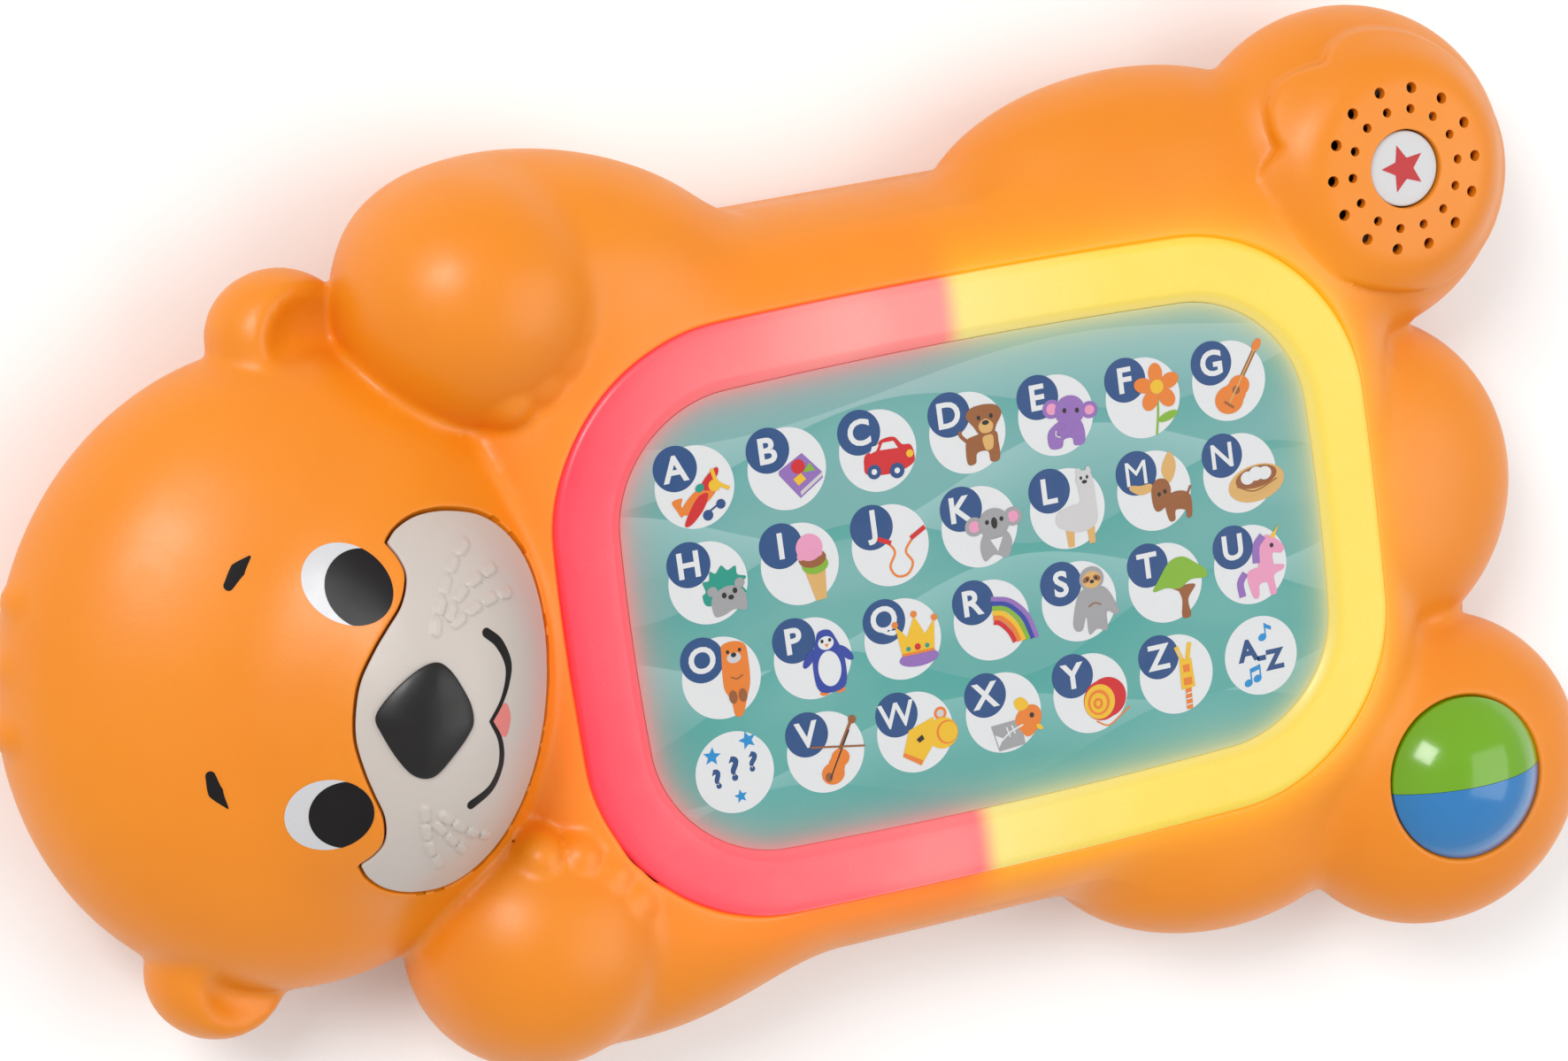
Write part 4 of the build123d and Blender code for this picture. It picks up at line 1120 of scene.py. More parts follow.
# The ring's section, from its outer foot to its inner foot: (share across, height).
RING_SECTION = [
    (0.0, 41.0), (0.0, 44.6), (0.004, 45.2), (0.018, 45.7), (0.045, 46.1), (0.09, 46.35), (0.16, 46.5), (0.3, 46.58),
    (0.5, 46.6), (0.7, 46.58), (0.8, 46.5), (0.84, 46.36), (0.88, 46.1), (0.93, 45.7), (0.97, 45.35), (0.99, 45.1),
    (1.0, 44.7), (1.0, 41.0),
]


def build_ring():
    """The frosted ring, swept round the panel."""
    count = 480
    middle = outline_points(lambda x, y: ring_edge(x, y) + RING_BAND / 2, count)
    tangent = np.roll(middle, -1, 0) - np.roll(middle, 1, 0)
    normal = np.stack([tangent[:, 1], -tangent[:, 0]], 1)
    normal /= np.linalg.norm(normal, axis=1)[:, None]

    def reach(edge, way):
        low, high = np.zeros(count), np.full(count, 16.0)
        for _ in range(30):
            step = (low + high) / 2
            spot = middle + way * step[:, None] * normal
            short = edge(spot[:, 0], spot[:, 1]) * way < 0
            low, high = np.where(short, step, low), np.where(short, high, step)
        return middle + way * low[:, None] * normal

    outer = reach(lambda x, y: ring_edge(x, y) + 0.12, 1)
    inner = reach(lambda x, y: panel_edge(x, y) - 0.02, -1)
    verts, shares = [], []
    for share, height in RING_SECTION:
        plan = outer + share * (inner - outer)
        verts.append(np.column_stack([plan, np.full(count, height)]))
        shares.append(np.full(count, share))
    verts, shares = np.concatenate(verts), np.concatenate(shares)
    faces = []
    rows = len(RING_SECTION)
    for row in range(rows):
        for i in range(count):
            j = (i + 1) % count
            below, above = row * count, ((row + 1) % rows) * count
            faces.append((below + i, below + j, above + j, above + i))
    piece = make_piece("light_ring_lens", verts, faces, glowing("ring_glow", "#FF5C6A", "#F6DA62"),
                       sharp=60)
    set_attribute(piece, "edge", np.clip((shares - 0.8) / 0.2, 0, 1) * 0.8)
    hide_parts("light_ring")


def flat_at(height):
    """A level plane as a field."""
    return lambda points: points[..., 2] - height


def build_panel():
    """The printed sheet under the discs."""
    step = 1.5
    x = np.arange(-81, 81 + step, step)
    y = np.arange(-52.5, 52.5 + step, step)
    grid = np.stack(np.meshgrid(x, y, indexing="ij"), -1)
    columns = len(y)
    verts = np.column_stack([grid.reshape(-1, 2), np.full(grid[..., 0].size, PANEL_TOP)])
    corner = (np.arange(len(x) - 1)[:, None] * columns + np.arange(columns - 1)).reshape(-1)
    quads = np.stack([corner, corner + columns, corner + columns + 1, corner + 1], 1)
    tris = halves(quads)
    plane = flat_at(PANEL_TOP)

    def inside(points):
        return -panel_edge(points[..., 0], points[..., 1]) - 0.03
    verts, tris = opening(plane, verts, tris, inside, 0.08, 0.2)
    verts, tris = thicken(verts, tris, 1.4)
    piece = make_piece("panel_print", verts, tris, panel_material("panel_sea"))
    # painted light: how strongly the ring's glow is painted on the panel, fading inwards from its edge
    gap = -panel_edge(verts[:, 0], verts[:, 1])
    glow = 0.85 * np.exp(-np.maximum(gap, 0) / 2.7)
    set_attribute(piece, "glow", np.clip(glow, 0, 1))
    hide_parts("touch_panel")


build_ring()
build_panel()

# ------------------------------------------------------------ printed discs
INKS = {
    "white": "#E9EAEB", "navy": "#2B5E8C", "red": "#D7222B", "orange": "#EE8A34", "yellow": "#F4C42B",
    "green": "#8DBB3F", "teal": "#1FA08E", "purple": "#9C78BE", "pink": "#EFA3C4", "brown": "#A0693A",
    "grey": "#A9A8AA", "black": "#26231F", "blue": "#1E97D4", "tan": "#E2B574", "royal": "#3856A8",
    "pale": "#D5D3D3",
}
PRINT = {name: ([], []) for name in INKS}
DISC_PITCH = (20.0, 19.85)
DISC_RADIUS = 8.48
LAYER = 0.012


def print_faces(tint, verts, faces):
    """Add a shape to the mesh of one ink."""
    all_verts, all_faces = PRINT[tint]
    base = len(all_verts)
    all_verts.extend(verts)
    all_faces.extend([tuple(base + i for i in face) for face in faces])


def slab(outline, low, high):
    """A flat patch with an outline and a thickness."""
    count = len(outline)
    verts = [(x, y, high) for x, y in outline] + [(x, y, low) for x, y in outline]
    faces = [tuple(range(count)), tuple(range(2 * count - 1, count - 1, -1))]
    faces += [(i, i + count, (i + 1) % count + count, (i + 1) % count) for i in range(count)]
    return verts, faces


def print_shape(tint, outline, low, high):
    """A flat printed patch with the given outline, anticlockwise."""
    outline = [tuple(p) for p in outline]
    area = sum(a[0] * b[1] - b[0] * a[1] for a, b in zip(outline, outline[1:] + outline[:1]))
    if area < 0:
        outline = outline[::-1]
    print_faces(tint, *slab(outline, low, high))


def oval(centre, radii, turn=0.0, count=40):
    """Outline of an ellipse, turned by degrees."""
    turn = math.radians(turn)
    outline = []
    for i in range(count):
        a = 2 * math.pi * i / count
        x, y = radii[0] * math.cos(a), radii[1] * math.sin(a)
        outline.append((centre[0] + x * math.cos(turn) - y * math.sin(turn),
                        centre[1] + x * math.sin(turn) + y * math.cos(turn)))
    return outline


def ribbon(points, width):
    """Outline of a line of even width with round turns."""
    curve = curve_through(points, steps=5) if len(points) > 2 else np.array(points, float)
    along = np.gradient(curve, axis=0)
    side = np.stack([-along[:, 1], along[:, 0]], 1)
    side /= np.linalg.norm(side, axis=1)[:, None]
    return np.concatenate([curve + side * width / 2, (curve - side * width / 2)[::-1]])


def star(centre, size, turn=90.0):
    """Outline of a five-pointed star."""
    return [(centre[0] + size * (1 if i % 2 == 0 else 0.45) * math.cos(math.radians(turn + 36 * i)),
             centre[1] + size * (1 if i % 2 == 0 else 0.45) * math.sin(math.radians(turn + 36 * i)))
            for i in range(10)]


def print_text(tint, text, size, centre, low, high, bold=0.0, turn=0.0):
    """Plain lettering, centred on a place."""
    curve = bpy.data.curves.new("letter", "FONT")
    curve.body = text
    curve.size = size
    curve.offset = bold
    curve.align_x, curve.align_y = "CENTER", "CENTER"
    curve.extrude = (high - low) / 2
    curve.resolution_u = 4
    letter = bpy.data.objects.new("letter", curve)
    bpy.context.scene.collection.objects.link(letter)
    bpy.context.view_layer.update()
    mesh = bpy.data.meshes.new_from_object(letter.evaluated_get(bpy.context.evaluated_depsgraph_get()))
    points = np.array([v.co[:] for v in mesh.vertices])
    points[:, :2] -= (points[:, :2].max(0) + points[:, :2].min(0)) / 2
    cosine, sine = math.cos(math.radians(turn)), math.sin(math.radians(turn))
    verts = [(centre[0] + x * cosine - y * sine, centre[1] + x * sine + y * cosine, (low + high) / 2 + z)
             for x, y, z in points]
    print_faces(tint, verts, [tuple(p.vertices) for p in mesh.polygons])
    bpy.data.objects.remove(letter)
    bpy.data.meshes.remove(mesh)
    bpy.data.curves.remove(curve)


def print_icon(text, centre):
    """Shapes one over another: 'tint kind numbers', parted by semicolons.

    o is an oval (x y rx ry turn), l a line (width and points), p an outline
    with straight sides, s an outline with smooth sides, t a star (x y size).
    """
    for layer, shape in enumerate(text.split(";")):
        tint, kind, *words = shape.split()
        values = [float(word) for word in words]
        if kind == "o":
            outline = oval(values[:2], values[2:4], values[4] if len(values) > 4 else 0)
        elif kind == "t":
            outline = star(values[:2], values[2], values[3] if len(values) > 3 else 90)
        elif kind == "l":
            points = list(zip(values[1::2], values[2::2]))
            outline = ribbon(points, values[0])
        else:
            points = list(zip(values[::2], values[1::2]))
            outline = curve_through(points, closed=True, steps=5) if kind == "s" else points
        low = PANEL_TOP + 0.06 + LAYER * layer
        print_shape(tint, [(centre[0] + x, centre[1] + y) for x, y in outline], low, low + LAYER)


ICONS = {
    "A": "navy l 0.4 2.2 -5.6 4.4 -4.4; navy o 2 -6.2 1.1 1.1; navy o 5 -4.4 1 1; "
         "orange s -5.2 -2.2 -4.4 -4.2 -3.6 -5.6 -2.8 -4.6 -3.4 -3.2 -3 -1.8; orange o 0.8 -2.4 4.9 1.7 32; "
         "red s 2.6 -1.8 1.4 -4.6 -1.6 -7.4 -3.2 -7.4 -1.4 -4.2 0.6 -2; "
         "red s 1.2 -0.4 2.6 1.6 5 3.2 5.4 2.2 4.2 0.4 3 -1.2; teal o 1 -0.4 1 0.8 30; yellow o 4.2 -0.4 1.3 1.2; "
         "yellow l 0.8 4 3 4.8 0.2 7.2 -1.6",
    "B": "purple p -1.8 -0.2 3.6 2.6 7.4 -2 2.2 -5.2; pale p 2.2 -5.2 7.4 -2 7.4 -2.8 2.3 -6; "
         "purple p 2.3 -6 7.4 -2.8 7.4 -3.2 2.1 -6.5 -1.9 -1 -1.8 -0.2 2.2 -5.2; red o 2.4 0 1.5 1.5; "
         "green p 3.2 -1.4 6 -1.4 4.9 0.4; yellow p 1 -2.4 2.8 -1.4 3.8 -2.8 2 -3.9",
    "C": "red s -3.4 -2.4 -2.8 -0.4 -0.6 0.2 0.8 2 3.8 2.2 5.4 0.4 7.2 0 7.8 -2 7.2 -4 3 -5.2 -2.8 -4.6; "
         "white p -1.8 -0.4 -0.4 0 0.4 1.2 -1.2 1; white p 0.4 0 1.2 1.4 3.6 1.4 4.4 -0.2; "
         "navy o -1.4 -4.2 1.5 1.5; white o -1.4 -4.2 0.6 0.6; navy o 3.6 -4.8 1.6 1.6; white o 3.6 -4.8 0.6 0.6; "
         "yellow o 6.8 -1.8 0.8 0.8",
    "D": "brown s -0.6 -2 -0.8 -6.4 1 -6.6 1.6 -4.6 4 -4.6 4.4 -6.8 6.4 -6.6 6.6 -3 6 -0.6 1 -1; "
         "brown l 0.8 -0.4 -1.8 -1.6 -0.4 -1.6 0.6; tan s 3.2 -1.6 5.4 -1.4 5.2 -4 3.6 -4.2; "
         "brown s 0 3.2 1.2 4.8 4.2 5.2 7 4.6 8 2.8 6.6 0.6 5.6 -1 2.8 -1 1.4 1; "
         "tan s 2.6 1 4.2 2.2 5.8 1 5.2 -0.6 3.2 -0.6; black o 4.2 1.4 0.8 0.5; black o 2.8 2.6 0.4 0.5; "
         "black o 5.6 2.6 0.4 0.5",
    "E": "purple s -2 -3 -2.2 -6.6 0.4 -7 1.2 -5.4 3 -5.4 3.4 -7 5.8 -6.6 5.6 -2.4 2.6 -0.8; "
         "purple o -0.8 1.4 2.1 2; purple o 7.6 -0.2 1.9 1.8; pink o -0.8 1.4 1.2 1.2; pink o 7.6 -0.2 1.1 1; "
         "purple o 3.2 0.4 3.4 3.2; purple l 1.5 3.2 -1.2 2.2 -3.6 0.2 -4; black o 2 0.6 0.45 0.55; "
         "black o 4.8 0.2 0.45 0.55; pale l 0.3 -0.4 -3.2 -0.6 -4.2 0.4 -4.8",
    "F": "green l 0.5 3.4 0 3 -4 2.2 -8.2; green o 5.2 -4.8 2.4 0.9 15; orange o 3.4 4.6 1.6 2.2; "
         "orange o 6.4 2.6 2.2 1.6 18; orange o 5.4 -0.8 1.7 2.2 35; orange o 1.6 -0.9 1.7 2.2 -35; "
         "orange o 0.4 2.5 2.2 1.6 -18; yellow o 3.4 1.8 1.5 1.5",
    "G": "brown l 1 2 -1.2 7 6; orange o 7.2 6.4 0.9 1.5 -38; orange o -0.4 -4 3.3 3; orange o 2.2 -1.4 2.4 2.2; "
         "orange o 1 -2.8 2.6 2.4; brown o 1.4 -2.2 0.9 0.9; tan l 0.3 -0.4 -4.6 6.6 5.6; "
         "brown l 0.5 -1.6 -4.2 0.4 -5.8",
    "H": "teal s -0.6 -4.8 -1.6 -2.6 -0.8 -1.8 -1.2 0.2 0.2 0.4 0.6 2.2 1.8 1.6 3.2 3 4.4 1.8 6.2 2.4 6.4 0.6 "
         "8.2 -0.2 7 -1.6 7.8 -3.4 5 -4; grey s 0.4 -3.2 0.4 -7 2.4 -7.2 4.8 -6.4 7.4 -6.8 7.2 -2.8 4 -1.4; "
         "grey o 0.6 -2 1.1 1; grey o 6.6 -1.2 1.1 1; black o 3 -3.2 0.5 0.6; black o 5.4 -2.6 0.5 0.6; "
         "black o 4.4 -3.8 0.6 0.5",
    "I": "tan p 0.8 -1.6 5.4 -0.8 4.8 -8 2.4 -8.2; green o 3.2 -0.8 2.9 1.9; brown o 2.8 0.6 3 1.9; "
         "pink o 2.4 3 2.9 2.8; pink o 0.4 1.4 0.9 0.8; pink o 2.2 1.2 0.9 0.8; pink o 4.2 1.6 0.9 0.8",
    "J": "orange l 0.5 -0.6 0.8 0.8 -1.6 -0.6 -4.4 0.6 -6.6 3 -6.6 4.4 -4.4 3.2 -1.8 5.2 0.8; "
         "red l 1 -2.6 1.8 0.2 0.4; red l 1 4.6 0.6 8 2.4",
    "K": "grey s -0.4 -4 0.2 -7.4 2.6 -6.4 5.4 -7.4 6.8 -4.2 5.4 -1.6 1.4 -1.2; white p 2 -3.2 4.8 -3 3.4 -5.8; "
         "grey o -1.2 0.2 2.1 2; grey o 7.6 0.8 2.1 2; pink o -1.2 0.2 1.2 1.2; pink o 7.6 0.8 1.2 1.2; "
         "grey o 3.2 0.2 3.5 3.1; black o 3.3 0.2 0.7 1.2; black o 1.7 0.6 0.45 0.5; black o 5 0.8 0.45 0.5",
    "L": "tan p -1 -4.6 1 -4.6 0.6 -8.2 -0.8 -8.2; tan p 3.8 -4.6 5.6 -4.6 5.4 -8.2 4 -8.2; "
         "pale s -2.6 -3.4 -2.4 -0.6 0.8 0.4 3 1 3 5.2 6.2 5.4 6.6 1.6 6.2 -4 2 -5.4; pale o 3.4 7 0.6 1; "
         "pale o 5.6 7 0.6 1; pale o 4.5 5.4 1.9 1.9; black o 4.5 4.9 0.6 0.4; black o 3.8 5.8 0.3 0.4; "
         "black o 5.2 5.8 0.3 0.4",
    "M": "tan s 3 1.4 2.2 4.2 4 7.4 5 7 5.6 5 5.2 3 4 1.2; tan s -0.4 0.2 -3 -0.4 -5.4 1 -5.2 2 -3 1.6 -0.6 1.6; "
         "brown s 2.2 -2.4 2.6 -6.8 4 -7 4.4 -5 6.6 -5.4 6.8 -7 8 -6.6 8 -2.2 5 -1; "
         "brown s -0.6 0.4 0.8 2.2 3 1.8 3.8 -0.6 2.6 -3.4 0.4 -4.6 -0.6 -3.2; black o 1 -1 0.4 0.5; "
         "black o 2.4 -0.6 0.4 0.5; brown l 0.5 7.6 -1.8 8.4 -0.4",
    "N": "tan o 3.6 -2.8 6.6 3.9 6; brown o 3.7 -1.5 4.9 2.3 6; white o 1.7 -1.4 1.6 1.4; white o 5.7 -1 1.6 1.4; "
         "white o 3.7 -0.8 1.6 1.5; tan l 0.3 -1.6 -3.6 2.4 -5.4 8 -3.6; brown l 0.25 -1 -2.8 3 -4.4 8.4 -2.6",
    "O": "orange s 0.6 4.6 1 6.6 3.6 7 5.8 6 6.2 3.6 6 -1.6 4.8 -5.2 3.4 -8.4 1.8 -8.2 1.4 -5 0.2 -2; "
         "pale o 3.2 3.6 1.5 1.1; black o 3.2 4.2 0.6 0.5; black o 2 5 0.35 0.4; black o 4.6 5 0.35 0.4; "
         "brown o 1.9 -4.4 0.9 1.4; brown o 4 -4.4 0.9 1.4; brown l 0.25 2 -0.2 3.2 -0.8 4.6 -0.2",
    "P": "orange o 1.6 -7.6 1.1 0.6; orange o 5 -7.6 1.1 0.6; royal o -0.8 0 2.2 0.9 50; "
         "royal o 7.2 -0.2 2.2 0.9 -50; "
         "royal s 1 3.4 2 5.2 4.2 5.2 5.4 3.4 6.8 -1 6.4 -6.6 3.2 -7.8 0.2 -6.6 -0.2 -1; "
         "white o 3.3 -2.8 2.5 3.7; white o 3.2 2.6 1.7 1.4; orange p 2.8 2.4 3.8 2.4 3.3 1.6; "
         "black o 2.4 3.1 0.35 0.4; black o 4.1 3.1 0.35 0.4",
    "Q": "purple o 3 -4.6 4.4 1.7; purple o 3 -3.8 3.6 1.4; "
         "yellow p -0.6 -3.6 -1.4 3 1 0.2 3 4.4 5 0.2 7.4 3 6.6 -3.6; red o 3 -2.2 0.7 0.7; "
         "teal o 0.9 -2.3 0.5 0.5; teal o 5.1 -2.3 0.5 0.5; orange o -1.4 3.2 0.7 0.7; orange o 3 4.7 0.7 0.7; "
         "orange o 7.4 3.2 0.7 0.7; orange l 0.5 -0.6 -3.4 6.6 -3.4",
    "R": "purple l 1 0.4 4.4 4.6 3.2 8 -0.4 9.6 -5.6; royal l 1 0.4 3.4 4 2.4 7.1 -0.9 8.6 -5.6; "
         "green l 1 0.4 2.4 3.5 1.6 6.2 -1.5 7.6 -5.6; yellow l 1 0.4 1.4 2.9 0.7 5.3 -2.1 6.6 -5.6; "
         "orange l 1 0.4 0.4 2.4 -0.2 4.5 -2.6 5.6 -5.6; red l 1 0.4 -0.6 1.8 -1.1 3.6 -3.2 4.6 -5.6",
    "S": "grey s 0.6 2 -1.8 -3.6 -1.6 -6 0 -6.2 1.2 -3.6 1.4 -7.4 3.4 -6.6 5.6 -7.2 6 -3.4 8 -4.4 8.6 -3 6 2; "
         "grey o 3.4 4.2 2.8 2.6; tan o 3.4 4 2.1 1.8; brown o 2.2 4.2 0.9 0.6 30; brown o 4.6 4.2 0.9 0.6 -30; "
         "black o 3.4 3.6 0.5 0.4; black o 2.4 4.2 0.3 0.35; black o 4.4 4.2 0.3 0.35; "
         "brown l 0.25 2 -1.6 3.4 -1 4.8 -1.6",
    "T": "brown s 3 -1.6 3.4 -4.4 3 -8 5 -8 4.8 -4.4 6.8 -1.6; brown l 0.6 4.4 -3 1.4 -1.2; "
         "green s -3 -1.4 -1.4 1 1.4 4.2 4.6 4.8 7.6 2.8 9.6 1 9.4 -0.6 6 -0.4 3 -1.8 0 -1.2",
    "U": "purple l 1.6 -1.4 -1.6 -2.8 -3.6 -2.6 -6.6; "
         "pink s -0.8 -1.6 -0.2 -7 1.2 -7.2 1.6 -4.8 3.4 -4.6 4 -7.2 5.4 -7 5.2 -3.4 7.4 -2.4 7.6 -1.4 4.4 -1; "
         "pink s 2 -2 2.2 3.2 4.2 5.6 6.6 4.4 8.2 2.4 7.4 1.2 5.4 1.4 5.2 -1.8; "
         "purple l 1.7 3.6 5.6 1.8 3.6 1.4 0; yellow p 5.2 5 6.2 4.6 7.6 7.4; black o 5.4 3.2 0.45 0.5",
    "V": "brown l 0.7 2.4 -1.2 6.2 5.2; brown o 6.6 5.6 0.9 0.9; orange o 1 -4.8 2.5 2.3; orange o 3 -1.8 2 1.9; "
         "orange o 2 -3.2 1.8 2; brown o 0 -5.4 0.8 1; black l 0.3 0.2 -5.8 5.6 3.6; brown l 0.4 -3.2 1.6 8.6 -0.4",
    "W": "orange o 6 2.8 1.4 1.4; pale o 6 2.8 0.8 0.8; yellow p -3.4 -4.6 -1.4 0.6 4.4 2.4 4.6 -2.2 0.4 -7.2; "
         "yellow o 6 -1.4 3.4 3.3; orange p -3.4 -4.6 -3 -3.8 0.9 -6.2 0.4 -7.2; orange o 7 -1.4 2.4 2.5; "
         "yellow o 7.2 -1.4 2.1 2.2; black p 0 -1.6 1.4 -0.8 1.8 -1.8 0.6 -2.4",
    "X": "grey p -3.2 -2.4 3.6 -2 4 -7.6 -2 -8; "
         "orange s 2.4 -2 4.4 0.2 7.2 0.2 8.4 -1.8 7.4 -4.6 5 -6.2 3.4 -4.8; "
         "yellow s 3 0 2.6 1.8 4.4 2.4 5.8 0.6 4.4 -0.4; white l 0.35 -1.4 -6 1 -4.4 4 -3.4; "
         "white l 0.3 0.2 -3.2 0.8 -5.4; white l 0.3 1.4 -3 2 -4.9; white p -2.6 -4.4 -0.8 -5.4 -2 -7.2; "
         "black o 6.2 -1.8 0.5 0.55; yellow o 7.6 -4.6 0.9 0.5 -40",
    "Y": "orange l 0.35 0.6 -6.2 3.2 -7.6 6.2 -6 8.6 -4.6; red o 3.6 -1.6 4.4 4.3; red o 2.4 -2 4.2 4.3; "
         "yellow o 1.8 -2.2 3.5 3.7; orange o 1.6 -2.3 2.5 2.7; yellow o 1.5 -2.4 1.9 2.1; "
         "orange o 1.4 -2.5 1.1 1.2; yellow o 1.4 -2.5 0.5 0.6",
    "Z": "yellow l 1 0.6 5.8 1.8 2.4; yellow l 1 3.8 6.2 2.8 2.4; pale l 0.3 0.9 5 1.5 3.2; "
         "orange l 1.4 2.2 -8 2.4 -3.2; yellow p 1 2.6 3.8 2.8 4 -3.4 0.8 -3.6; "
         "orange p 1.6 1.6 3.2 1.7 3.2 0 1.7 0; orange p 1.5 -1.2 3.4 -1.2 3.4 -2.8 1.5 -2.8; "
         "white l 0.25 1.6 -4.6 3 -4.5; white l 0.25 1.6 -5.8 3 -5.7; white l 0.25 1.5 -7 2.9 -6.9",
}
ROWS = ("ABCDEFG", "HIJKLMN", "OPQRSTU", "?VWXYZ-")


def print_disc(sign, centre):
    """One white disc, with its letter and its picture."""
    top = PANEL_TOP
    print_shape("white", oval(centre, (DISC_RADIUS, DISC_RADIUS), count=72), top, top + 0.02)
    at = lambda x, y: (centre[0] + x, centre[1] + y)
    if sign == "?":
        for size, x, y, turn in ((5.2, -3.9, -0.6, 8), (6.6, 0.0, 0.8, 0), (5.2, 4.1, 1.4, -8)):
            print_text("navy", "?", size, at(x, y), top + 0.03, top + 0.04, 0.28, turn)
        for x, y, size, turn in ((-4.4, 4.2, 2.0, 80), (3.6, 6.0, 2.0, 100), (0.6, -5.2, 1.5, 95)):
            print_shape("blue", star(at(x, y), size, turn), top + 0.03, top + 0.04)
    elif sign == "-":
        for text, size, x, y in (("A", 6.2, -2.9, 1.6), ("-", 6.0, 0.1, -0.6), ("Z", 5.8, 3.1, -1.4)):
            print_text("navy", text, size, at(x, y), top + 0.03, top + 0.04, 0.28, 0)
        for x, y in ((0.8, 3.8), (-3.6, -5.4), (-1.4, -4.8)):
            print_shape("blue", oval(at(x, y), (1.0, 0.8), 20), top + 0.03, top + 0.04)
            print_shape("blue", [at(x + dx, y + dy) for dx, dy in ((0.6, 0), (0.95, 0), (0.95, 3.0), (0.6, 3.0))],
                        top + 0.042, top + 0.05)
        print_shape("blue", [at(1.4, 6.8), at(1.4, 5.8), at(3.0, 5.0), at(3.1, 5.8)], top + 0.052, top + 0.06)
        print_shape("blue", [at(-3.0, -2.4), at(-3.0, -3.4), at(-0.45, -2.8), at(-0.45, -1.8)], top + 0.052, top + 0.06)
    else:
        print_shape("navy", oval(at(-3.6, 4.4), (4.7, 4.7), count=56), top + 0.025, top + 0.04)
        print_text("white", sign, 7.4, at(-3.6, 4.4), top + 0.045, top + 0.055,
                   {"M": 0.0, "N": 0.1, "W": 0.1}.get(sign, 0.2))
        print_icon(ICONS[sign], centre)


for row, signs in enumerate(ROWS):
    for column, sign in enumerate(signs):
        print_disc(sign, ((column - 3) * DISC_PITCH[0], (1.5 - row) * DISC_PITCH[1]))
for tint, (verts, faces) in PRINT.items():
    make_piece("print_" + tint, verts, faces, ink("ink_" + tint, INKS[tint]), sharp=30)


# ------------------------------------------------------------ badge
def build_badge():
    """A plain red star printed on the white badge."""
    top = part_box("speaker_badge")[1][2] / MM
    outline = star(SPEAKER_AT, STAR_SIZE, 102)
    rounded = curve_through([tuple(np.array(a) * 0.9 + np.array(b) * 0.1)
                             for i, point in enumerate(outline)
                             for a, b in ((point, outline[i - 1]), (point, outline[(i + 1) % 10]))],
                            closed=True, steps=3)
    verts, faces = slab(rounded, top - 0.3, top + 0.06)
    make_piece("badge_star", verts, faces, ink("badge_red", "#CF3A40", 0.28), sharp=30)


build_badge()


# ------------------------------------------------------------ finishes of the CAD parts
def board_material(name):
    """Green circuit board with copper runs under the mask."""
    nodes = Nodes(name)
    x, _, _ = nodes.xyz()
    runs = nodes.math("SINE", nodes.math("MULTIPLY_ADD", nodes.noise(6, 1), 40.0, nodes.math("MULTIPLY", x, 2.2)))
    line = nodes.span(runs, 0.75, 0.9)
    nodes.set(Base_Color=nodes.mix(nodes.math("MULTIPLY", line, 0.5), colour("#1D5C3A"), colour("#3E8A58")))
    nodes.set(Roughness=nodes.span(nodes.noise(5, 2), 0.3, 0.7, 0.3, 0.42))
    nodes.bump(line, 0.02)
    return nodes.material


def dome_material(name, hex_code):
    """Glossy tinted plastic."""
    nodes = Nodes(name)
    base = seen(hex_code)
    deep = tuple(c * 0.86 for c in base[:3]) + (1,)
    nodes.set(Base_Color=nodes.mix(nodes.noise(14, 2), deep, base))
    nodes.set(Roughness=nodes.span(nodes.noise(6, 2), 0.3, 0.7, 0.16, 0.22))
    nodes.bump(nodes.noise(0.8, 2), 0.004)
    nodes.shader.inputs["Coat Weight"].default_value = 0.3
    nodes.shader.inputs["Coat Roughness"].default_value = 0.08
    return nodes.material


FINISHES = {
    "shell_orange": orange,
    "board_green": board_material("board_mask"),
    "led_white": plastic("led_package", "#F2EFDF", 0.25, 0.4, 0.006, 0.04),
    "chip_black": plastic("chip_resin", "#2A2A2D", 0.5, 0.25, 0.01, 0.06),
    "can_dark": plastic("capacitor_sleeve", "#26324A", 0.3, 0.4, 0.006, 0.05),
    "ribbon_grey": plastic("ribbon_vinyl", "#B9BABD", 0.42, 0.5, 0.01, 0.05),
    "plated_steel": metal("plated_steel", "#BFC0C4", 0.26, 0.5),
    "magnet_steel": metal("magnet_steel", "#8C8E93", 0.38, 0.6),
    "cone_paper": plastic("cone_paper", "#2E2B29", 0.8, 0.7, 0.06, 0.12),
    "wire_red": plastic("wire_vinyl", "#C6302F", 0.38, 0.4, 0.006, 0.05),
    "cell_jacket": plastic("cell_jacket", "#3B5C86", 0.25, 0.5, 0.004, 0.06),
    "knob_dark": plastic("knob_plastic", "#4A4A50", 0.42, 0.4, 0.014, 0.05),
    "inner_white": plastic("inner_plastic", "#E4E3DF", 0.45, 0.5, 0.012, 0.04),
    "badge_white": plastic("badge_plastic", "#DFDFE1", 0.24, 0.6, 0.004, 0.02),
    "dome_green": dome_material("dome_green", "#84BE0C"),
    "dome_blue": dome_material("dome_blue", "#3F8FD0"),
    "muzzle_grey": plastic("plate_plastic", "#CBC1BA", 0.42, 0.6, 0.012, 0.03),
    "ring_diffuser": plastic("ring_plastic", "#F4C9A8", 0.3, 0.6, 0.01, 0.03),
    "panel_print": plastic("panel_plastic", "#8FBDB8", 0.3, 0.6, 0.006, 0.03),
}


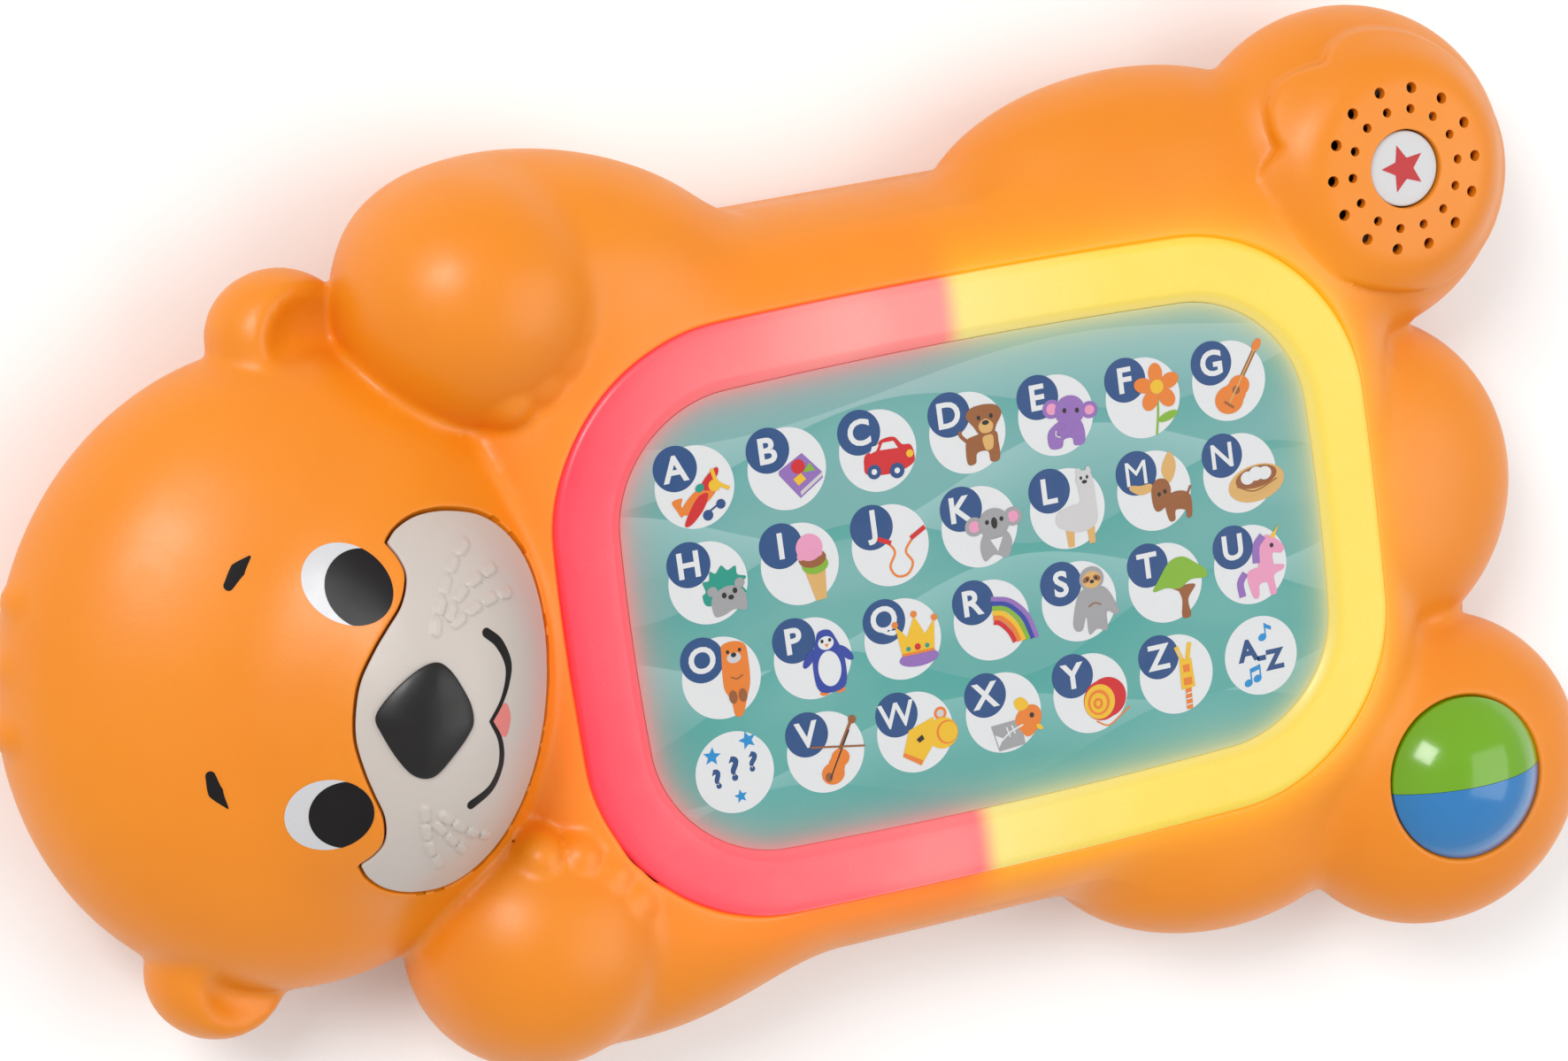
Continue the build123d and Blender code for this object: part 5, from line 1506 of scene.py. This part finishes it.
def build_spring():
    """The dome's return spring, as a still coil in the CAD spring's box; the real spring shortens as the dome goes
    down.
    """
    low, high = (np.array(corner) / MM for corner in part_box("dome_spring"))
    wire, turns, steps, sides = 0.5, 6, 28, 10
    radius = (high[0] - low[0]) / 2 - wire
    centre = (low + high) / 2
    verts = []
    count = turns * steps + 1
    for i in range(count):
        angle = 2 * math.pi * i / steps
        rise = low[2] + wire + (high[2] - low[2] - 2 * wire) * i / (count - 1)
        for k in range(sides):
            turn = 2 * math.pi * k / sides
            reach = radius + wire * math.cos(turn)
            verts.append((centre[0] + reach * math.cos(angle), centre[1] + reach * math.sin(angle),
                          rise + wire * math.sin(turn)))
    faces = [tuple(range(sides))[::-1], tuple(range((count - 1) * sides, count * sides))]
    for i in range(count - 1):
        for k in range(sides):
            a, b = i * sides + k, i * sides + (k + 1) % sides
            faces.append((a, b, b + sides, a + sides))
    coil = make_piece("dome_return_spring", verts, faces, FINISHES["plated_steel"], sharp=60)
    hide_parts("dome_spring")
    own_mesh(coil)


build_spring()
for row in frame["record"]["subparts"]:
    part = frame["nodes"].get(row["node"])
    if part is None:
        print("no node for", row["node"])
        continue
    for holder in part.material_slots:
        holder.material = FINISHES[row["material_slot"]]

# ------------------------------------------------------------ floor, light and camera
def area_light(name, place, aim, size, power, tint=(1, 1, 1)):
    """A soft square light pointing at a place; metres and watts."""
    from mathutils import Vector
    lamp = bpy.data.lights.new(name, "AREA")
    lamp.size = size
    lamp.energy = power
    lamp.color = tint
    light = bpy.data.objects.new(name, lamp)
    light.location = place
    light.rotation_euler = (Vector(aim) - Vector(place)).to_track_quat("-Z", "Y").to_euler()
    bpy.context.scene.collection.objects.link(light)


def build_stage():
    """Floor, world and two soft lights."""
    mesh = bpy.data.meshes.new("floor")
    reach, drop = 4.0, -0.0003
    mesh.from_pydata([(-reach, -reach, drop), (reach, -reach, drop), (reach, reach, drop), (-reach, reach, drop)], [],
                     [(0, 1, 2, 3)])
    nodes = Nodes("floor_paper")
    nodes.set(Base_Color=nodes.mix(nodes.noise(60, 2), (0.94, 0.94, 0.94, 1), (0.96, 0.96, 0.96, 1)))
    nodes.shader.inputs["Roughness"].default_value = 0.7
    mesh.materials.append(nodes.material)
    floor = bpy.data.objects.new("floor", mesh)
    bpy.context.scene.collection.objects.link(floor)

    world = bpy.data.worlds.new("studio")
    world.use_nodes = True
    world.node_tree.nodes["Background"].inputs["Color"].default_value = (1, 1, 1, 1)
    world.node_tree.nodes["Background"].inputs["Strength"].default_value = 0.62
    bpy.context.scene.world = world
    area_light("key", (-0.9, 0.9, 1.3), (0, 0, 0.03), 0.7, 15.5)
    area_light("fill", (0.9, -0.2, 1.2), (0, 0, 0.03), 1.3, 8.5)
    bpy.context.scene.view_settings.view_transform = "Standard"


def build_camera():
    """A long lens above the head's side, looking down."""
    from mathutils import Matrix
    lens = bpy.data.cameras.new("camera")
    lens.lens = 99.96
    lens.sensor_width = 36.0
    lens.clip_end = 10.0
    camera = bpy.data.objects.new("camera", lens)
    right = np.array((0.928, -0.134, 0.3475))
    up = np.array((0.1892, 0.9733, -0.13))
    back = -np.array((0.3208, -0.1864, -0.9286))
    camera.matrix_world = Matrix((
        (right[0], up[0], back[0], -0.3259),
        (right[1], up[1], back[1], 0.1821),
        (right[2], up[2], back[2], 0.8656),
        (0, 0, 0, 1),
    ))
    bpy.context.scene.collection.objects.link(camera)
    bpy.context.scene.camera = camera


build_stage()
build_camera()
